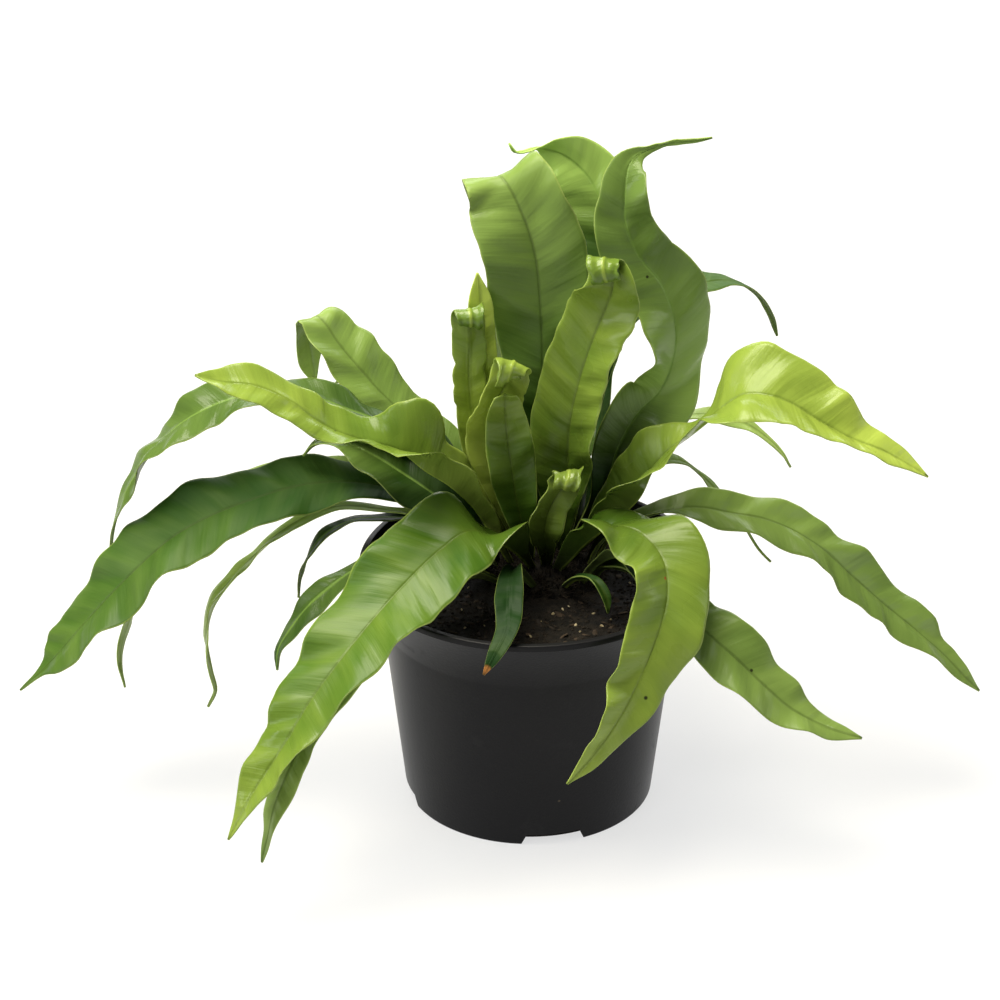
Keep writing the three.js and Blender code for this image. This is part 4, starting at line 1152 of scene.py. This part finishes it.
def pot_profile():
    """Radius and height pairs, from the middle of the underside out, up and down to the floor."""
    under_lip = RIM_RADIUS - LIP_OVERHANG
    inner_rim = under_lip - WALL
    inner_foot = FOOT_RADIUS - WALL
    lip_base = POT_HEIGHT - LIP_HEIGHT
    return [
        (0, 0),
        *arc((FOOT_RADIUS - FOOT_ROUND, FOOT_ROUND), FOOT_ROUND, -90, 0),
        (SHOULDER_RADIUS - 0.1, SHOULDER_HEIGHT - 1),
        (SHOULDER_RADIUS + 0.3, SHOULDER_HEIGHT + 1),
        (under_lip, lip_base - 0.2),
        (under_lip + 0.2, lip_base),
        *arc((RIM_RADIUS - LIP_CORNER, lip_base + LIP_CORNER), LIP_CORNER, -90, 0, 3),
        *arc((RIM_RADIUS - LIP_ROUND, POT_HEIGHT - LIP_ROUND), LIP_ROUND, 0, 90),
        *arc((inner_rim + INNER_LIP_ROUND, POT_HEIGHT - INNER_LIP_ROUND), INNER_LIP_ROUND, 90, 180, 4),
        (SHOULDER_RADIUS - WALL, SHOULDER_HEIGHT),
        (inner_foot + 0.8, FLOOR_THICKNESS + 1),
        (inner_foot, FLOOR_THICKNESS),
        (0, FLOOR_THICKNESS),
    ]


def drain_block(angle):
    """The tapered block that is cut from the foot of the wall."""
    wide, narrow = DRAIN_WIDTH / 2, DRAIN_TOP_WIDTH / 2
    outline = [(-wide, -1), (wide, -1), (narrow, DRAIN_HEIGHT), (-narrow, DRAIN_HEIGHT)]
    points = [(x * MM, (y - FOOT_RADIUS) * MM, z * MM)
              for y in (-DRAIN_DEPTH, DRAIN_DEPTH) for x, z in outline]
    faces = [(0, 1, 2, 3), (7, 6, 5, 4), (0, 4, 5, 1), (1, 5, 6, 2), (2, 6, 7, 3), (3, 7, 4, 0)]
    block = add_mesh("drain", points, faces)
    block.data.transform(Matrix.Rotation(math.radians(angle + 90), 4, "Z"))
    close(block.data)
    return block


def make_pot():
    pot = lathe("nursery_pot", pot_profile(), POT_SIDES)
    blocks = [drain_block(FIRST_DRAIN_ANGLE + k * 360 / DRAIN_COUNT) for k in range(DRAIN_COUNT)]
    for block in blocks:
        cut = pot.modifiers.new("drain", "BOOLEAN")
        cut.operation = "DIFFERENCE"
        cut.solver = "EXACT"
        cut.object = block
    settle(pot)
    for block in blocks:
        bpy.data.objects.remove(block)
    finish_mesh(pot, POT_CREASE)
    pot.data.materials.append(pot_plastic())
    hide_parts("pot")
    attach(pot, "root")


# Soil and crown

def soil_edge(height):
    """The inside of the pot's wall at a height, less the gap that the soil leaves."""
    foot = FOOT_RADIUS - WALL - SEAT_GAP
    shoulder = SHOULDER_RADIUS - WALL - SEAT_GAP
    rim = RIM_RADIUS - LIP_OVERHANG - WALL - SEAT_GAP
    if height <= SHOULDER_HEIGHT:
        return foot + (shoulder - foot) * height / SHOULDER_HEIGHT
    return shoulder + (rim - shoulder) * (height - SHOULDER_HEIGHT) / (POT_HEIGHT - SHOULDER_HEIGHT)


def soil_relief(x, y, share):
    """Height of the soil's surface over its level, from lumps and crumbs that calm at the wall."""
    lumps = noise.fractal(Vector((x / LUMP_SIZE, y / LUMP_SIZE, LUMP_SEED)), *LUMP_NOISE)
    crumbs = noise.fractal(Vector((x / CRUMB_SIZE, y / CRUMB_SIZE, CRUMB_SEED)), *CRUMB_NOISE)
    calm = min(1, (1 - share) * SOIL_CALM)
    rough = calm * (SOIL_LUMPS * lumps + SOIL_CRUMBS * crumbs) * SOIL_ROUGHNESS
    return SOIL_MOUND * (1 - share ** 2) + rough


def make_soil():
    """Soil with an uneven top, which fills the pot to just under its rim."""
    bottom = FLOOR_THICKNESS + SEAT_GAP
    profile = [(0, bottom), (soil_edge(0) - 1, bottom), (soil_edge(SHOULDER_HEIGHT), SHOULDER_HEIGHT)]
    edge = soil_edge(SOIL_HEIGHT)
    profile += [(edge * (1 - k / SOIL_RINGS), SOIL_HEIGHT) for k in range(SOIL_RINGS + 1)]
    soil = lathe("potting_soil", profile, SOIL_SIDES)
    for vertex in soil.data.vertices:
        x, y, z = (value / MM for value in vertex.co)
        if z > SOIL_HEIGHT - 0.1:
            vertex.co.z += soil_relief(x, y, math.hypot(x, y) / edge) * MM
    finish_mesh(soil, SOIL_CREASE)
    soil.data.materials.append(peat())
    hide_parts("soil")
    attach(soil, "root")


def refine(profile, spacing):
    """The same profile with points no further apart than the spacing."""
    fine = [profile[0]]
    for start, end in zip(profile, profile[1:]):
        steps = max(1, math.ceil(math.dist(start, end) / spacing))
        for k in range(1, steps + 1):
            fine.append(tuple(a + (b - a) * k / steps for a, b in zip(start, end)))
    return fine


def make_crown():
    """The rootstock's uneven dome, from which the fronds grow."""
    profile = [(0, CROWN_BOTTOM), (CROWN_RADIUS * CROWN_FOOT, CROWN_BOTTOM)]
    profile += [(CROWN_RADIUS * across, CROWN_SHOULDER + (CROWN_TOP - CROWN_SHOULDER) * up)
                for across, up in CROWN_DOME]
    crown = lathe("crown_rootstock", refine(profile, CROWN_SPACING), CROWN_SIDES, CROWN_CENTRE)
    for vertex in crown.data.vertices:
        if vertex.co.z > CROWN_SHOULDER * MM:
            lumps = noise.fractal(vertex.co * CROWN_LUMP_SCALE, *CROWN_NOISE)
            vertex.co.z += CROWN_LUMPS * MM * lumps
    finish_mesh(crown, CROWN_CREASE)
    crown.data.materials.append(speckled("crown_fibre"))
    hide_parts("crown")
    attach(crown, "root")


# Scattered bits, by geometry nodes

class Growth(Nodes):
    """One geometry nodes tree with named inputs."""

    def __init__(self, name):
        super().__init__(bpy.data.node_groups.new(name, "GeometryNodeTree"))
        for side in ("INPUT", "OUTPUT"):
            self.tree.interface.new_socket("Geometry", in_out=side, socket_type="NodeSocketGeometry")
        self.start = self.tree.nodes.new("NodeGroupInput")
        self.end = self.tree.nodes.new("NodeGroupOutput")

    def input(self, name, kind="NodeSocketFloat"):
        self.tree.interface.new_socket(name, in_out="INPUT", socket_type=kind)
        return self.start.outputs[name]

    def spread(self, density, seed):
        """Random points on the surface that the tree runs on."""
        inputs = {"Mesh": self.start.outputs["Geometry"], "Density": density, "Seed": seed}
        return self.node("GeometryNodeDistributePointsOnFaces", inputs)

    def random_vector(self, low, high, seed):
        inputs = {0: low, 1: high, "Seed": seed}
        return self.node("FunctionNodeRandomValue", inputs, data_type="FLOAT_VECTOR").outputs[0]

    def plant(self, points, shape, turn, size):
        """A real copy of the shape at every point."""
        placed = self.node("GeometryNodeInstanceOnPoints", {
            "Points": points.outputs["Points"], "Instance": shape.outputs["Mesh"],
            "Rotation": turn, "Scale": size})
        return self.node("GeometryNodeRealizeInstances", {"Geometry": placed.outputs[0]}).outputs[0]

    def paint(self, geometry, finish):
        """Gives the geometry its finish, and makes it what the tree puts out."""
        painted = self.node("GeometryNodeSetMaterial", {"Geometry": geometry, "Material": finish})
        self.tree.links.new(painted.outputs[0], self.end.inputs[0])
        return self.tree


def scatter_tree():
    """Lumpy bits of random size, turn and flatness, strewn over a surface."""
    growth = Growth("Strewn bits")
    density, seed = growth.input("Density"), growth.input("Seed", "NodeSocketInt")
    smallest = growth.input("Smallest", "NodeSocketVector")
    largest = growth.input("Largest", "NodeSocketVector")
    rough, finish = growth.input("Roughness"), growth.input("Material", "NodeSocketMaterial")
    ball = growth.node("GeometryNodeMeshIcoSphere", {"Radius": 0.5, "Subdivisions": 2})
    size = growth.random_vector(smallest, largest, seed)
    turn = growth.random_vector(*BITS_TURNS, seed)
    whole = growth.plant(growth.spread(density, seed), ball, turn, size)
    place = growth.node("GeometryNodeInputPosition").outputs[0]
    lumps = growth.node("ShaderNodeTexNoise", {"Vector": place, "Scale": BITS_LUMPS, "Detail": 2.0})
    centred = growth.node("ShaderNodeVectorMath", {0: lumps.outputs["Color"], 1: (0.5, 0.5, 0.5)},
                          operation="SUBTRACT")
    shift = growth.node("ShaderNodeVectorMath", {0: centred.outputs[0], "Scale": rough},
                        operation="SCALE")
    bent = growth.node("GeometryNodeSetPosition", {"Geometry": whole, "Offset": shift.outputs[0]})
    return growth.paint(bent.outputs[0], finish)


def scale_tree():
    """Narrow pointed scales that stand out of a surface at random leans."""
    growth = Growth("Crown scales")
    density, seed = growth.input("Density"), growth.input("Seed", "NodeSocketInt")
    length, width = growth.input("Length"), growth.input("Width")
    finish = growth.input("Material", "NodeSocketMaterial")
    points = growth.spread(density, seed)
    spike = growth.node("GeometryNodeMeshCone", {
        "Vertices": 4, "Side Segments": 2, "Radius Top": 0.0, "Radius Bottom": width, "Depth": length})
    lean = growth.random_vector(*SCALES_LEANS, seed)
    leaning = growth.node("FunctionNodeRotateEuler", {
        "Rotation": points.outputs["Rotation"], "Rotate By": lean}, space="LOCAL")
    least, most = SCALES_SIZES
    size = growth.node("FunctionNodeRandomValue", {2: least, 3: most, "Seed": seed}, data_type="FLOAT")
    whole = growth.plant(points, spike, leaning.outputs[0], size.outputs[1])
    return growth.paint(whole, finish)


def grow(piece, tree, values):
    """Runs a tree on a piece with the values given by name, and keeps the result as its mesh."""
    modifier = piece.modifiers.new(tree.name, "NODES")
    modifier.node_group = tree
    for item in tree.interface.items_tree:
        if item.item_type == "SOCKET" and item.in_out == "INPUT" and item.name in values:
            modifier[item.identifier] = values[item.name]
    settle(piece)
    close(piece.data)


def soil_ring(name):
    """A flat ring just over the soil, on which bits are strewn."""
    outer = soil_edge(SOIL_HEIGHT) - BITS_MARGIN
    height, sides = SOIL_HEIGHT + BITS_LIFT, BITS_SIDES
    points = circle(BITS_INNER, height, sides) + circle(outer, height, sides)
    faces = [(k, sides + k, sides + (k + 1) % sides, (k + 1) % sides) for k in range(sides)]
    return add_mesh(name, points, faces)


def lower_bits(piece):
    """Sinks each bit to the soil's own surface, where it lies."""
    edge = soil_edge(SOIL_HEIGHT)
    for vertex in piece.data.vertices:
        x, y = vertex.co.x / MM, vertex.co.y / MM
        share = min(1, math.hypot(x, y) / edge)
        vertex.co.z += (soil_relief(x, y, share) - BITS_LIFT) * MM


def make_soil_bits():
    tree = scatter_tree()
    for name, (kind, density, seed, smallest, largest, lumpiness) in SOIL_BITS.items():
        ring = soil_ring(name)
        grow(ring, tree, {
            "Density": density, "Seed": seed, "Smallest": tuple(value * MM for value in smallest),
            "Largest": tuple(value * MM for value in largest), "Roughness": lumpiness * MM,
            "Material": speckled(kind)})
        lower_bits(ring)
        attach(ring, "root")


def make_crown_scales():
    dome = lathe("crown_scales", SCALES_DOME, SCALES_SIDES, CROWN_CENTRE)
    grow(dome, scale_tree(), {
        "Density": SCALES_DENSITY, "Seed": SCALES_SEED, "Length": SCALE_LENGTH * MM,
        "Width": SCALE_WIDTH * MM, "Material": speckled("crown_scale")})
    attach(dome, "root")


# Floor, light and camera

def floor_paper():
    """Pale matte paper that glows most round the object and behind it."""
    finish = Finish("floor_paper")
    shade = finish.blend(finish.grain(finish.place(), 3.0), *FLOOR_GREYS)
    depth = finish.node("ShaderNodeSeparateXYZ", {0: finish.place()}).outputs[1]
    around = finish.step(finish.distance_to(GLOW_CENTRE), *GLOW_REACH, 1.0, 0.0)
    near = finish.math("MULTIPLY", around, finish.step(depth, *GLOW_FRONT))
    glow = {"Emission Color": (1, 1, 1, 1),
            "Emission Strength": finish.add_part(FAR_GLOW, near, FLOOR_GLOW - FAR_GLOW)}
    return finish.output(finish.principled(shade, 0.9, glow))


def make_floor():
    reach = FLOOR_REACH
    corners = [(-reach, -reach, 0), (reach, -reach, 0), (reach, reach, 0), (-reach, reach, 0)]
    floor = add_mesh("floor", corners, [(0, 1, 2, 3)])
    floor.data.materials.append(floor_paper())


def make_light(name, place, aim, size, power, colour):
    data = bpy.data.lights.new(name, "AREA")
    data.shape = "RECTANGLE"
    data.size, data.size_y = size
    data.energy = power
    data.color = colour
    light = add_object(name, data)
    light.location = place
    light.rotation_euler = (Vector(aim) - Vector(place)).to_track_quat("-Z", "Y").to_euler()


def make_studio():
    """Soft lights, an even pale sky, and colours shown as they are."""
    for name, values in LIGHTS.items():
        make_light(name, *values)
    world = bpy.data.worlds.new("studio")
    world.use_nodes = True
    sky = world.node_tree.nodes["Background"]
    sky.inputs["Color"].default_value = (1, 1, 1, 1)
    sky.inputs["Strength"].default_value = SKY_STRENGTH
    bpy.context.scene.world = world
    bpy.context.scene.view_settings.view_transform = "Standard"
    bpy.context.scene.view_settings.look = "None"


def make_camera():
    data = bpy.data.cameras.new("camera")
    data.lens = CAMERA_LENS
    data.sensor_width = SENSOR
    data.clip_end = 20
    camera = add_object("camera", data)
    down = math.radians(CAMERA_DOWN)
    back = Vector((0, -math.cos(down), math.sin(down))) * CAMERA_DISTANCE * MM
    camera.location = Vector(CAMERA_AIM) * MM + back
    camera.rotation_euler = (math.pi / 2 - down, 0, 0)
    bpy.context.scene.camera = camera


def main():
    make_camera()
    make_studio()
    make_floor()
    make_pot()
    make_soil()
    make_crown()
    finishes = {age: (blade_upper(age), blade_lower(age)) for age in GREENS}
    for frond in FRONDS:
        make_frond(frond, finishes)
    make_soil_bits()
    make_crown_scales()


main()
